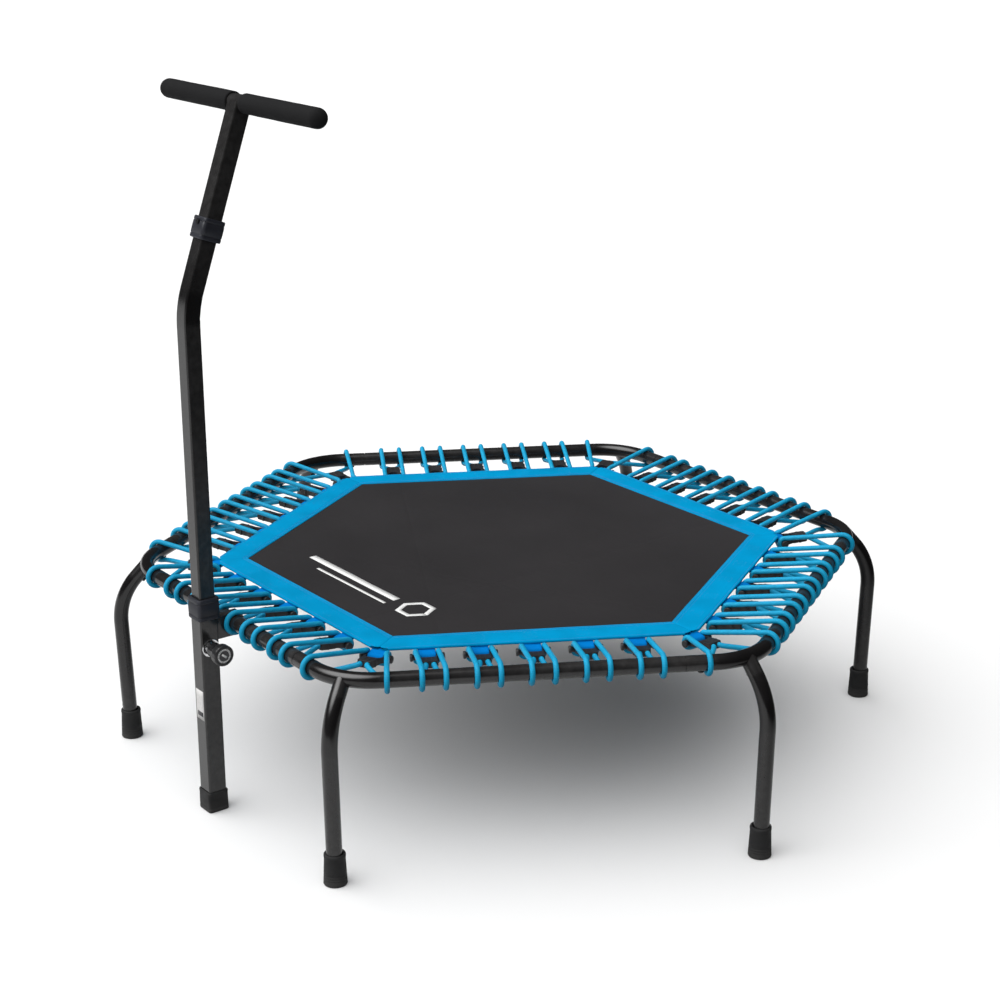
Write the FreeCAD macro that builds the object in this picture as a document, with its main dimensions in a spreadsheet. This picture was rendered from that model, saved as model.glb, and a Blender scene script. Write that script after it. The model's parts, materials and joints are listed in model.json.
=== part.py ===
import FreeCAD, Part
import math
import os
import Sketcher

# Hexagonal mini trampoline: a frame of six bent tubes on six bent legs, a jumping bed hung in
# bungee cords on plastic hooks, and a telescopic mast with a padded T-bar on the -Y side.
# Modelled about the centre of the hexagon on the floor: +Z up, the hand support on the -Y side, a
# corner on +X. The files are written with the origin at the middle of the box's underside.
# "Local hook frame": X outwards from the bed, Y along the rail (anticlockwise), Z up.

SIZES = {
    # frame
    "corner_radius": (640, "centre to the sharp corner of the tube centre line"),
    "rail_height": (324, "floor to the tube centre line"),
    "tube_diameter": (25.4, "frame and leg tube, outside"),
    "tube_wall": (1.5, "frame and leg tube wall"),
    "bend_radius": (110, "centre line radius of the frame corners"),
    "joint_offset": (110, "frame joint to the next sharp corner"),
    "joint_gap": (1.2, "visible gap at a frame joint"),
    "spigot_diameter": (22.2, "inner sleeves, outside"),
    "spigot_length": (90, "inner sleeve of a frame joint"),
    "joint_screw_offset": (25, "screw from the start of a frame tube"),
    "screw_radius": (2.5, "M5 shank"),
    "screw_head_radius": (4.75, "button head"),
    "screw_head_height": (2.6, "button head"),
    "screw_length": (7, "shank length"),
    "screw_hole_radius": (2.65, "clearance hole for M5"),
    # legs and feet
    "leg_top_angle": (42, "degrees from vertical where a leg leaves the corner"),
    "leg_top_length": (30, "straight part under the corner, from the frame centre line"),
    "leg_bend_radius": (120, "centre line radius of the leg bend"),
    "leg_lean": (1.6, "degrees the lower leg leans out going up"),
    "leg_end": (6.5, "leg end above the floor"),
    "leg_spigot_end": (32, "end of the stub that carries a leg"),
    "leg_screw_place": (24.5, "leg screw along the leg from the frame centre line"),
    "cope_gap": (0.15, "gap between a coped end and its tube"),
    "foot_height": (52, "rubber foot"),
    "foot_top_radius": (16.5, "rubber foot at the top"),
    "foot_bottom_radius": (18.75, "rubber foot at the floor"),
    "foot_bevel": (2, "bevel at the floor"),
    "foot_socket_radius": (12.8, "socket for the leg"),
    "foot_socket_floor": (6, "rubber under the leg"),
    # whole object
    "hexagon_centre": (11.861, "centre of the hexagon from the middle of the box, along +Y"),
    # bed
    "mat_apothem": (436, "cut edge of the black mat"),
    "mat_thickness": (1.6, "woven mat"),
    "mat_bottom": (323.4, "underside of the mat"),
    "mat_press": (0.1, "the seams press each face of the mat in by this much under the border"),
    "mat_free_gap": (0.4, "from the border's inner edge to the unpressed mat"),
    "corner_cut": (498, "border corners are cut off at this radius"),
    "border_apothem": (439.5, "outer edge of the border"),
    "border_inner_apothem": (389, "inner edge of the border"),
    "border_bottom": (321.9, "underside of the border"),
    "border_thickness": (4.4, "border over both faces of the mat"),
    "border_clearance": (0.05, "between the mat and the border"),
    "border_fold": (1.2, "fold around the mat's edge"),
    # hooks and webbing
    "hook_distance": (450.5, "cross bar of a side hook from the centre"),
    "hook_corner_distance": (509, "cross bar of a corner hook from the centre"),
    "hook_height": (313.5, "cross bar centre above the floor"),
    "hook_tilt": (7, "degrees the outer end is raised"),
    "hook_pitch": (83.4, "hook spacing along a side"),
    "hook_shift": (-9, "hooks sit off the middle of the plain sides"),
    "hook_bar_radius": (4.5, "round cross bar"),
    "hook_ear_radius": (6.2, "end discs of the cross bar"),
    "hook_ear_inner": (22.9, "inner face of an end disc"),
    "hook_ear_outer": (27.4, "outer face of an end disc"),
    "hook_length": (44, "cross bar centre to the outer end"),
    "hook_window": (19, "end of the window for the webbing"),
    "hook_arm_width": (18, "half width over the arms"),
    "hook_window_width": (13.8, "half width of the window"),
    "hook_body_width": (12.4, "half width at the outer end"),
    "hook_arm_height": (8.6, "thickness of the arms"),
    "hook_body_height": (11.6, "thickness of the cord block"),
    "cord_hole_radius": (4.5, "blind holes for the cord ends"),
    "cord_hole_spread": (6.4, "cord hole from the hook's middle"),
    "cord_hole_depth": (14, "blind holes for the cord ends"),
    "cord_radius": (4.25, "bungee cord"),
    "cord_spread": (18.1, "cord from the hook's middle at the ear"),
    "cord_clearance": (0.15, "between the cord and what it wraps"),
    "cord_turn": (16, "last part of a strand, where it turns onto the ear"),
    "corner_cord_yaw": (26, "degrees between a corner strand and the corner line"),
    "tab_width": (27, "webbing width"),
    "tab_thickness": (1.2, "webbing thickness"),
    "tab_length": (46, "sewn end to the cross bar centre"),
    # post
    "post_distance": (601, "post centre from the centre of the hexagon"),
    "post_width": (32, "square post"),
    "post_wall": (1.5, "post wall"),
    "post_corner": (3, "post corner radius"),
    "post_bottom": (6.2, "post end above the floor"),
    "post_top": (372, "post top"),
    "cap_width": (37, "rubber foot of the post"),
    "cap_height": (36, "rubber foot of the post"),
    "cap_floor": (6, "rubber under the post"),
    "fit_gap": (0.05, "gap at a close fit, per side"),
    "bracket_width": (25, "bracket between post and rail"),
    "bracket_bottom": (300.5, "bracket between post and rail"),
    "bracket_height": (38, "bracket between post and rail"),
    "saddle_inner": (538, "inner face of the saddle from the centre"),
    "saddle_height": (22, "saddle on the inner side of the rail"),
    "bracket_bolt_spread": (7, "bracket bolt from the middle"),
    "bracket_bolt_length": (38, "bracket bolt shank"),
    "collar_width": (39.5, "lower collar"),
    "collar_bottom": (339, "lower collar"),
    "collar_top": (375, "lower collar"),
    # mast
    "mast_width": (28, "square mast tube"),
    "mast_wall": (1.5, "mast tube wall"),
    "mast_corner": (3, "mast corner radius"),
    "mast_bottom": (55, "lower end of the mast tube"),
    "mast_bend_height": (846, "sharp corner of the mast bend"),
    "mast_bend_angle": (19.5, "lean towards the bed, degrees"),
    "mast_bend_radius": (170, "centre line radius of the mast bend"),
    "mast_joint": (123, "joint line above the bend, along the lean"),
    "mast_joint_gap": (0.4, "gap between the two tubes, hidden in the collar"),
    "mast_spigot_length": (110, "inner square tube at the joint"),
    "mast_guide_width": (28.9, "plastic guide at the lower end"),
    "mast_guide_flange": (4, "guide flange thickness"),
    "mast_guide_stem": (20, "guide stem in the tube"),
    "upper_collar_width": (38.2, "collar over the mast joint"),
    "upper_collar_length": (33.6, "collar over the mast joint"),
    "upper_screw_place": (8.5, "mast screw above the joint line"),
    "bar_height": (1147, "T-bar centre line above the floor"),
    "bar_radius": (12.5, "T-bar tube"),
    "bar_half_length": (218.5, "T-bar tube from the middle"),
    "grip_radius": (15.5, "foam grip"),
    "grip_start": (18, "foam grip from the middle"),
    "grip_end": (233, "rounded end of the foam grip"),
    "grip_bore_radius": (12.6, "bore of the foam grip"),
    "grip_bore_end": (221.1, "bottom of the bore"),
    "grip_edge": (1.5, "bevel at the inner end of the grip"),
    "plug_length": (10, "plug inside the T-bar"),
    "plug_flange": (2, "plug outside the T-bar"),
    # pull pin
    "pin_height": (291, "pull pin above the floor"),
    "pin_radius": (4, "pull pin"),
    "pin_hole_radius": (4.5, "holes in post and mast"),
    "pin_hole_spacing": (50, "height steps of the mast"),
    "pin_start": (14.1, "pin tip from the mast's middle"),
    "pin_end": (57.9, "outer end of the pin"),
    "pin_collar_radius": (6.6, "shoulder under the spring"),
    "pin_collar_start": (23, "shoulder under the spring"),
    "pin_collar_end": (25, "shoulder under the spring"),
    "housing_radius": (9, "pin housing"),
    "housing_bore": (7, "spring chamber"),
    "housing_start": (16.1, "pin housing"),
    "housing_floor": (17.6, "spring chamber"),
    "housing_lip": (36, "end of the spring chamber"),
    "housing_end": (38, "pin housing"),
    "washer_radius": (15, "plated washer"),
    "washer_end": (18, "plated washer"),
    "knob_skirt_radius": (12.5, "pull knob"),
    "knob_cap_radius": (17.6, "pull knob"),
    "knob_start": (25, "pull knob"),
    "knob_floor": (45, "chamber inside the knob"),
    "knob_chamber": (9.6, "chamber inside the knob"),
    "knob_shoulder": (45, "start of the knob's cap"),
    "knob_end": (60, "outer face of the knob"),
    "knob_recess": (1.5, "recess for the disc"),
    "disc_radius": (12.3, "disc in the knob's face"),
    "spring_radius": (5.4, "pin spring, coil"),
    "spring_wire": (0.5, "pin spring, wire radius"),
    "spring_pitch": (2.3, "pin spring"),
}

CORNERS = 6
HANDLE_SIDE = 4
HOOKS_PER_SIDE = 5
HEIGHT_STEPS = 5
SPRING_POINTS_PER_TURN = 12
Z = FreeCAD.Vector(0, 0, 1)

doc = FreeCAD.newDocument("mini_trampoline")
sheet = doc.addObject("Spreadsheet::Sheet", "sizes")
for row, (alias, (number, note)) in enumerate(SIZES.items(), start=1):
    sheet.set(f"A{row}", alias)
    sheet.set(f"B{row}", str(number))
    sheet.set(f"C{row}", note)
    sheet.setAlias(f"B{row}", alias)
doc.recompute()

parts = []


# ---------------------------------------------------------------- helpers

def value(formula):
    """The number a sheet formula gives now."""
    return float(sheet.evalExpression(formula))


def vector(x, y, z):
    return FreeCAD.Vector(x, y, z)


def turned(degrees):
    """Placement turned about the vertical axis through the origin."""
    return FreeCAD.Placement(vector(0, 0, 0), FreeCAD.Rotation(Z, degrees))


def placed(origin, x_axis, y_axis):
    """Placement at origin with the given local X and Y directions."""
    z_axis = x_axis.cross(y_axis)
    return FreeCAD.Placement(origin, FreeCAD.Rotation(x_axis, y_axis, z_axis, "XYZ"))


def shifted(x, y, z):
    return FreeCAD.Placement(vector(x, y, z), FreeCAD.Rotation())


def keep(piece, label):
    """Names a finished sub-part and lists it for writing."""
    piece.Label = label
    parts.append(piece)
    return piece


def new_body(name, placement=None):
    body = doc.addObject("PartDesign::Body", name)
    body.Placement = placement or FreeCAD.Placement()
    return body


def new_sketch(body, name, role, offset=None):
    sketch = body.newObject("Sketcher::SketchObject", name)
    plane = next(f for f in body.Origin.OriginFeatures if f.Role == role)
    sketch.AttachmentSupport = [(plane, "")]
    sketch.MapMode = "FlatFace"
    if offset:
        sketch.setExpression("AttachmentOffset.Base.z", offset)
    return sketch


def dimension(sketch, name, formula, *constraint):
    """Adds a named driving constraint bound to a sheet formula."""
    index = sketch.addConstraint(Sketcher.Constraint(*constraint, value(formula)))
    sketch.renameConstraint(index, name)
    sketch.setExpression(f"Constraints.{name}", formula)


def angle_dimension(sketch, name, formula, *constraint):
    """As dimension, for a formula in degrees."""
    angle = math.radians(value(formula))
    index = sketch.addConstraint(Sketcher.Constraint(*constraint, angle))
    sketch.renameConstraint(index, name)
    sketch.setExpression(f"Constraints.{name}", f"({formula}) * 1 deg")


def add_circle(sketch, name, radius, along=None):
    """A circle on the sketch's X axis, at the origin unless a distance along it is given."""
    x = value(along) if along else 0
    index = sketch.addGeometry(Part.Circle(vector(x, 0, 0), Z, value(radius)))
    if along:
        sketch.addConstraint(Sketcher.Constraint("PointOnObject", index, 3, -1))
        dimension(sketch, name + "_at", along, "DistanceX", -1, 1, index, 3)
    else:
        sketch.addConstraint(Sketcher.Constraint("Coincident", index, 3, -1, 1))
    dimension(sketch, name, radius, "Radius", index)
    return index


def add_rounded_square(sketch, name, width, corner):
    """A square about the origin with rounded corners."""
    half, r = value(width) / 2, value(corner)
    ends = [(-half + r, -half), (half - r, -half), (half, -half + r), (half, half - r),
            (half - r, half), (-half + r, half), (-half, half - r), (-half, -half + r)]
    lines, arcs = [], []
    for i in range(4):
        start, end = ends[2 * i], ends[2 * i + 1]
        lines.append(sketch.addGeometry(Part.LineSegment(vector(*start, 0), vector(*end, 0))))
        sign = [(1, -1), (1, 1), (-1, 1), (-1, -1)][i]
        centre = vector(sign[0] * (half - r), sign[1] * (half - r), 0)
        first = math.radians(90 * i - 90)
        arc = Part.ArcOfCircle(Part.Circle(centre, Z, r), first, first + math.pi / 2)
        arcs.append(sketch.addGeometry(arc))
    for i in range(4):
        sketch.addConstraint(Sketcher.Constraint("Tangent", lines[i], 2, arcs[i], 1))
        sketch.addConstraint(Sketcher.Constraint("Tangent", arcs[i], 2, lines[(i + 1) % 4], 1))
        if i:
            sketch.addConstraint(Sketcher.Constraint("Equal", arcs[0], arcs[i]))
    sketch.addConstraint(Sketcher.Constraint("Horizontal", lines[0]))
    sketch.addConstraint(Sketcher.Constraint("Vertical", lines[1]))
    sketch.addConstraint(Sketcher.Constraint("Symmetric", lines[0], 1, lines[2], 1, -1, 1))
    sketch.addConstraint(Sketcher.Constraint("Equal", lines[0], lines[1]))
    dimension(sketch, name, width, "DistanceX", lines[3], 1, lines[1], 1)
    dimension(sketch, name + "_corner", corner, "Radius", arcs[0])


def add_outline(sketch, points):
    """A closed chain of straight lines, each corner bound to the sheet by its two formulas."""
    numbers = [vector(value(x), value(y), 0) for x, y in points]
    count = len(points)
    for i in range(count):
        sketch.addGeometry(Part.LineSegment(numbers[i], numbers[(i + 1) % count]))
    for i in range(count):
        sketch.addConstraint(Sketcher.Constraint("Coincident", i, 2, (i + 1) % count, 1))
    for i, (x, y) in enumerate(points):
        if value(x) == 0:
            sketch.addConstraint(Sketcher.Constraint("PointOnObject", i, 1, -2))
        else:
            dimension(sketch, f"x{i}", x, "DistanceX", -1, 1, i, 1)
        if value(y) == 0:
            sketch.addConstraint(Sketcher.Constraint("PointOnObject", i, 1, -1))
        else:
            dimension(sketch, f"y{i}", y, "DistanceY", -1, 1, i, 1)


def pad(body, sketch, length, symmetric=False):
    feature = body.newObject("PartDesign::Pad", "pad")
    feature.Profile = sketch
    feature.setExpression("Length", length)
    feature.SideType = "Symmetric" if symmetric else "One side"
    doc.recompute()
    return feature


def pocket(body, sketch, length, reverse=False, symmetric=False):
    """A pocket that must remove material."""
    before = body.Shape.Volume
    feature = body.newObject("PartDesign::Pocket", "pocket")
    feature.Profile = sketch
    feature.Reversed = reverse
    feature.setExpression("Length", length)
    feature.SideType = "Symmetric" if symmetric else "One side"
    doc.recompute()
    if body.Shape.Volume > before - 1e-6:
        raise RuntimeError(f"{body.Name}: a pocket removes nothing")
    return feature


def revolve(body, sketch, axis):
    feature = body.newObject("PartDesign::Revolution", "revolution")
    feature.Profile = sketch
    feature.ReferenceAxis = (sketch, [axis])
    feature.Angle = 360
    doc.recompute()
    return feature


def soften(body, radius, chosen):
    """Rounds the edges of the body that the test picks."""
    before = body.Tip
    names = [f"Edge{i}" for i, edge in enumerate(before.Shape.Edges, start=1) if chosen(edge)]
    feature = body.newObject("PartDesign::Fillet", "fillet")
    feature.Base = (before, names)
    feature.setExpression("Radius", radius)
    doc.recompute()
    return feature


def cylinder(name, radius, length, placement):
    """A plain cylinder along its placement's Z axis, used as a tool or as stock."""
    piece = doc.addObject("Part::Cylinder", name)
    piece.setExpression("Radius", radius)
    piece.setExpression("Height", length)
    piece.Placement = placement
    return piece


def cut(name, base, tool, placement=None):
    piece = doc.addObject("Part::Cut", name)
    piece.Base = base
    piece.Tool = tool
    piece.Placement = placement or FreeCAD.Placement()
    return piece


def join(name, *shapes):
    piece = doc.addObject("Part::MultiFuse", name)
    piece.Shapes = list(shapes)
    return piece


def common(name, *shapes):
    piece = doc.addObject("Part::MultiCommon", name)
    piece.Shapes = list(shapes)
    return piece


def copies(label, source, placements):
    """One node holding a separate solid at each placement."""
    doc.recompute()
    solids = []
    for placement in placements:
        solid = source.Shape.copy()
        solid.Placement = placement.multiply(solid.Placement)
        solids.append(solid)
    group = doc.addObject("Part::Feature", label)
    group.Shape = Part.makeCompound(solids)
    return keep(group, label)


def square_ring_sketch(body, name, role, width, wall, corner):
    sketch = new_sketch(body, name, role)
    add_rounded_square(sketch, "outer", width, corner)
    add_rounded_square(sketch, "inner", f"{width} - 2 * {wall}", f"{corner} - {wall} + 0.3")
    return sketch


def bent_tube(name, first, radius, angle, second, draw_profile, placement=None):
    """A tube that starts at its origin along +X and bends once, towards +Y."""
    body = new_body(name, placement)
    run, bend, turn, rest = value(first), value(radius), math.radians(value(angle)), value(second)
    end = vector(run + bend * math.sin(turn), bend - bend * math.cos(turn), 0)
    far = end + vector(rest * math.cos(turn), rest * math.sin(turn), 0)
    path = new_sketch(body, name + "_path", "XY_Plane")
    path.addGeometry(Part.LineSegment(vector(0, 0, 0), vector(run, 0, 0)))
    circle = Part.Circle(vector(run, bend, 0), Z, bend)
    path.addGeometry(Part.ArcOfCircle(circle, -math.pi / 2, -math.pi / 2 + turn))
    path.addGeometry(Part.LineSegment(end, far))
    path.addConstraint(Sketcher.Constraint("Coincident", 0, 1, -1, 1))
    path.addConstraint(Sketcher.Constraint("Horizontal", 0))
    path.addConstraint(Sketcher.Constraint("Tangent", 0, 2, 1, 1))
    path.addConstraint(Sketcher.Constraint("Tangent", 1, 2, 2, 1))
    dimension(path, "first", first, "Distance", 0)
    dimension(path, "bend", radius, "Radius", 1)
    dimension(path, "second", second, "Distance", 2)
    angle_dimension(path, "turn", angle, "Angle", 2)
    profile = draw_profile(body)
    pipe = body.newObject("PartDesign::AdditivePipe", name + "_pipe")
    pipe.Profile = profile
    pipe.Spine = (path, ["Edge1", "Edge2", "Edge3"])
    doc.recompute()
    return body


def round_tube_profile(body):
    sketch = new_sketch(body, body.Name + "_section", "YZ_Plane")
    add_circle(sketch, "outer", "sizes.tube_diameter / 2")
    add_circle(sketch, "inner", "sizes.tube_diameter / 2 - sizes.tube_wall")
    return sketch


def mast_profile(body):
    name = body.Name + "_section"
    return square_ring_sketch(body, name, "YZ_Plane", "sizes.mast_width", "sizes.mast_wall",
                              "sizes.mast_corner")


# ---------------------------------------------------------------- frame

CORNER_TANGENT = "sizes.bend_radius * tan(30 deg)"
CORNER_APEX = "sizes.corner_radius - sizes.bend_radius * (1 / cos(30 deg) - 1)"
RAIL_APOTHEM = "sizes.corner_radius * cos(30 deg)"


def joint_point(index, past=0.0):
    """Place and direction of the frame joint before a corner, at rail height."""
    side = math.radians(60 * index + 60)
    direction = vector(math.cos(side), math.sin(side), 0)
    angle = math.radians(60 * index)
    corner = vector(math.cos(angle), math.sin(angle), 0) * value("sizes.corner_radius")
    start = corner - direction * (value("sizes.joint_offset") - past)
    start.z = value("sizes.rail_height")
    return start, direction


def screw_hole_tool(name, placement):
    """A short drill for one tube wall and the sleeve wall under it, along the placement's Z."""
    return cylinder(name, "sizes.screw_hole_radius", "sizes.tube_diameter / 2 + 2", placement)


def frame_tube(index):
    """One of six equal tubes: a short straight, a 60 degree corner and a long straight."""
    start, direction = joint_point(index, value("sizes.joint_gap") / 2)
    side_direction = vector(-direction.y, direction.x, 0)
    tube = bent_tube(
        f"frame_tube_blank_{index + 1}",
        f"sizes.joint_offset - sizes.joint_gap / 2 - {CORNER_TANGENT}",
        "sizes.bend_radius", "60",
        f"sizes.corner_radius - sizes.joint_offset - sizes.joint_gap / 2 - {CORNER_TANGENT}",
        round_tube_profile, placed(start, direction, side_direction))
    hole = new_sketch(tube, f"screw_hole_{index + 1}", "XY_Plane")
    add_circle(hole, "hole", "sizes.screw_hole_radius", "sizes.joint_screw_offset")
    pocket(tube, hole, "sizes.tube_diameter")
    return tube


def joint_spigots():
    """Sleeves inside the six frame joints."""
    body = new_body("joint_spigot")
    sketch = new_sketch(body, "spigot_section", "YZ_Plane")
    add_circle(sketch, "outer", "sizes.spigot_diameter / 2")
    add_circle(sketch, "inner", "sizes.spigot_diameter / 2 - sizes.tube_wall")
    pad(body, sketch, "sizes.spigot_length", symmetric=True)
    hole = new_sketch(body, "spigot_hole", "XY_Plane")
    add_circle(hole, "hole", "sizes.screw_hole_radius",
               "sizes.joint_screw_offset + sizes.joint_gap / 2")
    pocket(body, hole, "sizes.tube_diameter")
    places = []
    for index in range(CORNERS):
        centre, direction = joint_point(index)
        places.append(placed(centre, direction, vector(-direction.y, direction.x, 0)))
    copies("joint_spigots", body, places)


def screw_stock():
    """A button-head socket screw: head above its origin, shank along -Z."""
    body = new_body("screw_stock")
    sketch = new_sketch(body, "head_section", "XY_Plane")
    add_circle(sketch, "head", "sizes.screw_head_radius")
    pad(body, sketch, "sizes.screw_head_height")
    soften(body, "sizes.screw_head_height * 0.4",
           lambda edge: edge.BoundBox.ZMin > value("sizes.screw_head_height") - 0.01)
    socket = new_sketch(body, "socket", "XY_Plane", "sizes.screw_head_height")
    add_circle(socket, "socket", "sizes.screw_radius * 0.6")
    pocket(body, socket, "sizes.screw_head_height * 0.6")
    shank = new_sketch(body, "shank_section", "XY_Plane")
    add_circle(shank, "shank", "sizes.screw_radius")
    length = pad(body, shank, "sizes.screw_length")
    length.Reversed = True
    doc.recompute()
    return body


def joint_screws(screw):
    """One screw under each frame joint."""
    places = []
    drop = value("sizes.tube_diameter / 2")
    along = value("sizes.joint_screw_offset + sizes.joint_gap / 2")
    for index in range(CORNERS):
        centre, direction = joint_point(index)
        origin = centre + direction * along - Z * drop
        places.append(placed(origin, direction, vector(direction.y, -direction.x, 0)))
    copies("joint_screws", screw, places)


# ---------------------------------------------------------------- legs

LEG_REACH = (f"{CORNER_APEX} + sizes.leg_top_length * sin(sizes.leg_top_angle * 1 deg)"
             " + sizes.leg_bend_radius * (cos(sizes.leg_lean * 1 deg)"
             " - cos(sizes.leg_top_angle * 1 deg))")
LEG_DROP = ("sizes.leg_top_length * cos(sizes.leg_top_angle * 1 deg)"
            " + sizes.leg_bend_radius * (sin(sizes.leg_top_angle * 1 deg)"
            " + sin(sizes.leg_lean * 1 deg))")
LEG_LOWER = f"(sizes.rail_height - ({LEG_DROP}) - sizes.leg_end) / cos(sizes.leg_lean * 1 deg)"


def leg_axes():
    """Top point of a leg on the +X corner, its direction and the side it bends to."""
    angle = math.radians(value("sizes.leg_top_angle"))
    top = vector(value(CORNER_APEX), 0, value("sizes.rail_height"))
    down = vector(math.sin(angle), 0, -math.cos(angle))
    inwards = vector(-math.cos(angle), 0, -math.sin(angle))
    return top, down, inwards


def leg_tools():
    """The frame corner as a solid ring, and the leg screw's drill, both on the +X corner."""
    ring = doc.addObject("Part::Torus", "corner_ring")
    ring.setExpression("Radius1", "sizes.bend_radius")
    ring.setExpression("Radius2", "sizes.tube_diameter / 2 + sizes.cope_gap")
    centre = value("sizes.corner_radius - sizes.bend_radius / cos(30 deg)")
    ring.Placement = shifted(centre, 0, value("sizes.rail_height"))
    top, down, inwards = leg_axes()
    place = placed(top + down * value("sizes.leg_screw_place"), down, inwards.cross(down))
    drill = screw_hole_tool("leg_drill", place)
    return join("leg_tools", ring, drill)


def legs(tools):
    """Six bent legs, coped to the frame corners."""
    top, down, inwards = leg_axes()
    blank = bent_tube("leg_blank", "sizes.leg_top_length", "sizes.leg_bend_radius",
                      "sizes.leg_top_angle + sizes.leg_lean", LEG_LOWER, round_tube_profile,
                      placed(top, down, inwards))
    for index in range(CORNERS):
        keep(cut(f"leg_{index + 1}", blank, tools, turned(60 * index)), f"leg_{index + 1}")


def leg_spigots(tools):
    """Stubs welded under the frame corners; the legs slide over them."""
    top, down, inwards = leg_axes()
    body = new_body("leg_spigot_blank", placed(top, down, inwards))
    sketch = new_sketch(body, "leg_spigot_section", "YZ_Plane")
    add_circle(sketch, "outer", "sizes.spigot_diameter / 2")
    add_circle(sketch, "inner", "sizes.spigot_diameter / 2 - sizes.tube_wall")
    pad(body, sketch, "sizes.leg_spigot_end")
    spigot = cut("leg_spigot", body, tools)
    copies("leg_spigots", spigot, [turned(60 * index) for index in range(CORNERS)])


def leg_screws(screw):
    """One screw on the inner side of each leg top."""
    top, down, inwards = leg_axes()
    origin = top + down * value("sizes.leg_screw_place") + inwards * value("sizes.tube_diameter / 2")
    place = placed(origin, down, inwards.cross(down))
    copies("leg_screws", screw, [turned(60 * i).multiply(place) for i in range(CORNERS)])


def feet():
    """Six rubber feet, each with a leaning socket for its leg."""
    lean = math.radians(value("sizes.leg_lean"))
    leg_end = value(f"{LEG_REACH} - ({LEG_LOWER}) * sin(sizes.leg_lean * 1 deg)")
    centre = leg_end - value("sizes.leg_end") * math.tan(lean)
    body = new_body("foot_blank", shifted(centre, 0, 0))
    sketch = new_sketch(body, "foot_section", "XZ_Plane")
    add_outline(sketch, [
        ("0", "0"),
        ("sizes.foot_bottom_radius - sizes.foot_bevel", "0"),
        ("sizes.foot_bottom_radius", "sizes.foot_bevel"),
        ("sizes.foot_top_radius", "sizes.foot_height"),
        ("0", "sizes.foot_height")])
    revolve(body, sketch, "V_Axis")
    soften(body, "sizes.foot_bevel * 0.6",
           lambda edge: edge.BoundBox.ZMin > value("sizes.foot_height") - 0.01)
    axis = vector(math.sin(lean), 0, math.cos(lean))
    floor = vector(centre, 0, 0) + axis * value("sizes.foot_socket_floor")
    place = placed(floor, vector(0, 1, 0).cross(axis), vector(0, 1, 0))
    socket = cylinder("foot_socket", "sizes.foot_socket_radius", "sizes.foot_height", place)
    for index in range(CORNERS):
        label = f"foot_{index + 1}"
        keep(cut(label, body, socket, turned(60 * index)), label)


# ---------------------------------------------------------------- bed

def hexagon(name, apothem, bottom, height, degrees=0):
    """A six-sided plate given by its flat-to-centre distance."""
    plate = doc.addObject("Part::Prism", name)
    plate.Polygon = CORNERS
    plate.setExpression("Circumradius", f"({apothem}) / cos(30 deg)")
    plate.setExpression("Height", height)
    plate.Placement = turned(degrees)
    plate.setExpression("Placement.Base.z", bottom)
    return plate


def cut_corner_hexagon(name, apothem, corner, bottom, height):
    """A hexagon whose six corners are cut off square at the corner distance."""
    sides = hexagon(name + "_sides", apothem, bottom, height)
    corners = hexagon(name + "_corners", corner, bottom, height, 30)
    return common(name, sides, corners)


def jump_mat():
    """The black woven bed, pressed a little thinner where the border is sewn over it."""
    edge = "sizes.corner_cut - (sizes.border_apothem - sizes.mat_apothem)"
    pressed = cut_corner_hexagon("mat_pressed", "sizes.mat_apothem", edge,
                                 "sizes.mat_bottom + sizes.mat_press",
                                 "sizes.mat_thickness - 2 * sizes.mat_press")
    free = hexagon("mat_free", "sizes.border_inner_apothem - sizes.mat_free_gap", "sizes.mat_bottom",
                   "sizes.mat_thickness")
    keep(join("jump_mat", pressed, free), "jump_mat")


def mat_border():
    """The wide border folded over the mat's edge and sewn through it."""
    outer = cut_corner_hexagon("border_outer", "sizes.border_apothem", "sizes.corner_cut",
                               "sizes.border_bottom", "sizes.border_thickness")
    inner = hexagon("border_inner", "sizes.border_inner_apothem", "sizes.border_bottom - 1",
                    "sizes.border_thickness + 2")
    slot = cut_corner_hexagon(
        "border_slot", "sizes.border_apothem - sizes.border_fold",
        "sizes.corner_cut - sizes.border_fold",
        "sizes.mat_bottom + sizes.mat_press - sizes.border_clearance",
        "sizes.mat_thickness - 2 * sizes.mat_press + 2 * sizes.border_clearance")
    keep(cut("mat_border", outer, join("border_hollow", inner, slot)), "mat_border")


def hook_frame(angle, distance, along):
    """Local hook frame at rail height zero: X outwards, Y anticlockwise, Z up."""
    return turned(angle).multiply(shifted(distance, along, 0))


def side_hook_frames():
    """The hooks of all six sides; those of the hand support's side are centred."""
    frames = []
    for side in range(CORNERS):
        shift = 0 if side == HANDLE_SIDE else value("sizes.hook_shift")
        for step in range(HOOKS_PER_SIDE):
            along = shift + (step - (HOOKS_PER_SIDE - 1) / 2) * value("sizes.hook_pitch")
            frames.append(hook_frame(30 + 60 * side, value("sizes.hook_distance"), along))
    return frames


def corner_hook_frames():
    distance = value("sizes.hook_corner_distance")
    return [hook_frame(60 * index, distance, 0) for index in range(CORNERS)]


def teardrop(radius, tip):
    """Face in the XZ plane: a circle about the cross bar drawn out to a point on the bed side."""
    centre = vector(0, 0, value("sizes.hook_height"))
    to_tip = tip - centre
    open_angle = math.acos(radius / to_tip.Length)
    facing = math.atan2(to_tip.z, to_tip.x)
    touch = []
    for sign in (-1, 1):
        angle = facing + sign * open_angle
        touch.append(centre + vector(math.cos(angle), 0, math.sin(angle)) * radius)
    back = centre - to_tip.normalize() * radius
    arc = Part.Arc(touch[0], back, touch[1]).toShape()
    edges = [Part.makeLine(tip, touch[0]), arc, Part.makeLine(touch[1], tip)]
    return Part.Face(Part.Wire(edges))


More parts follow.
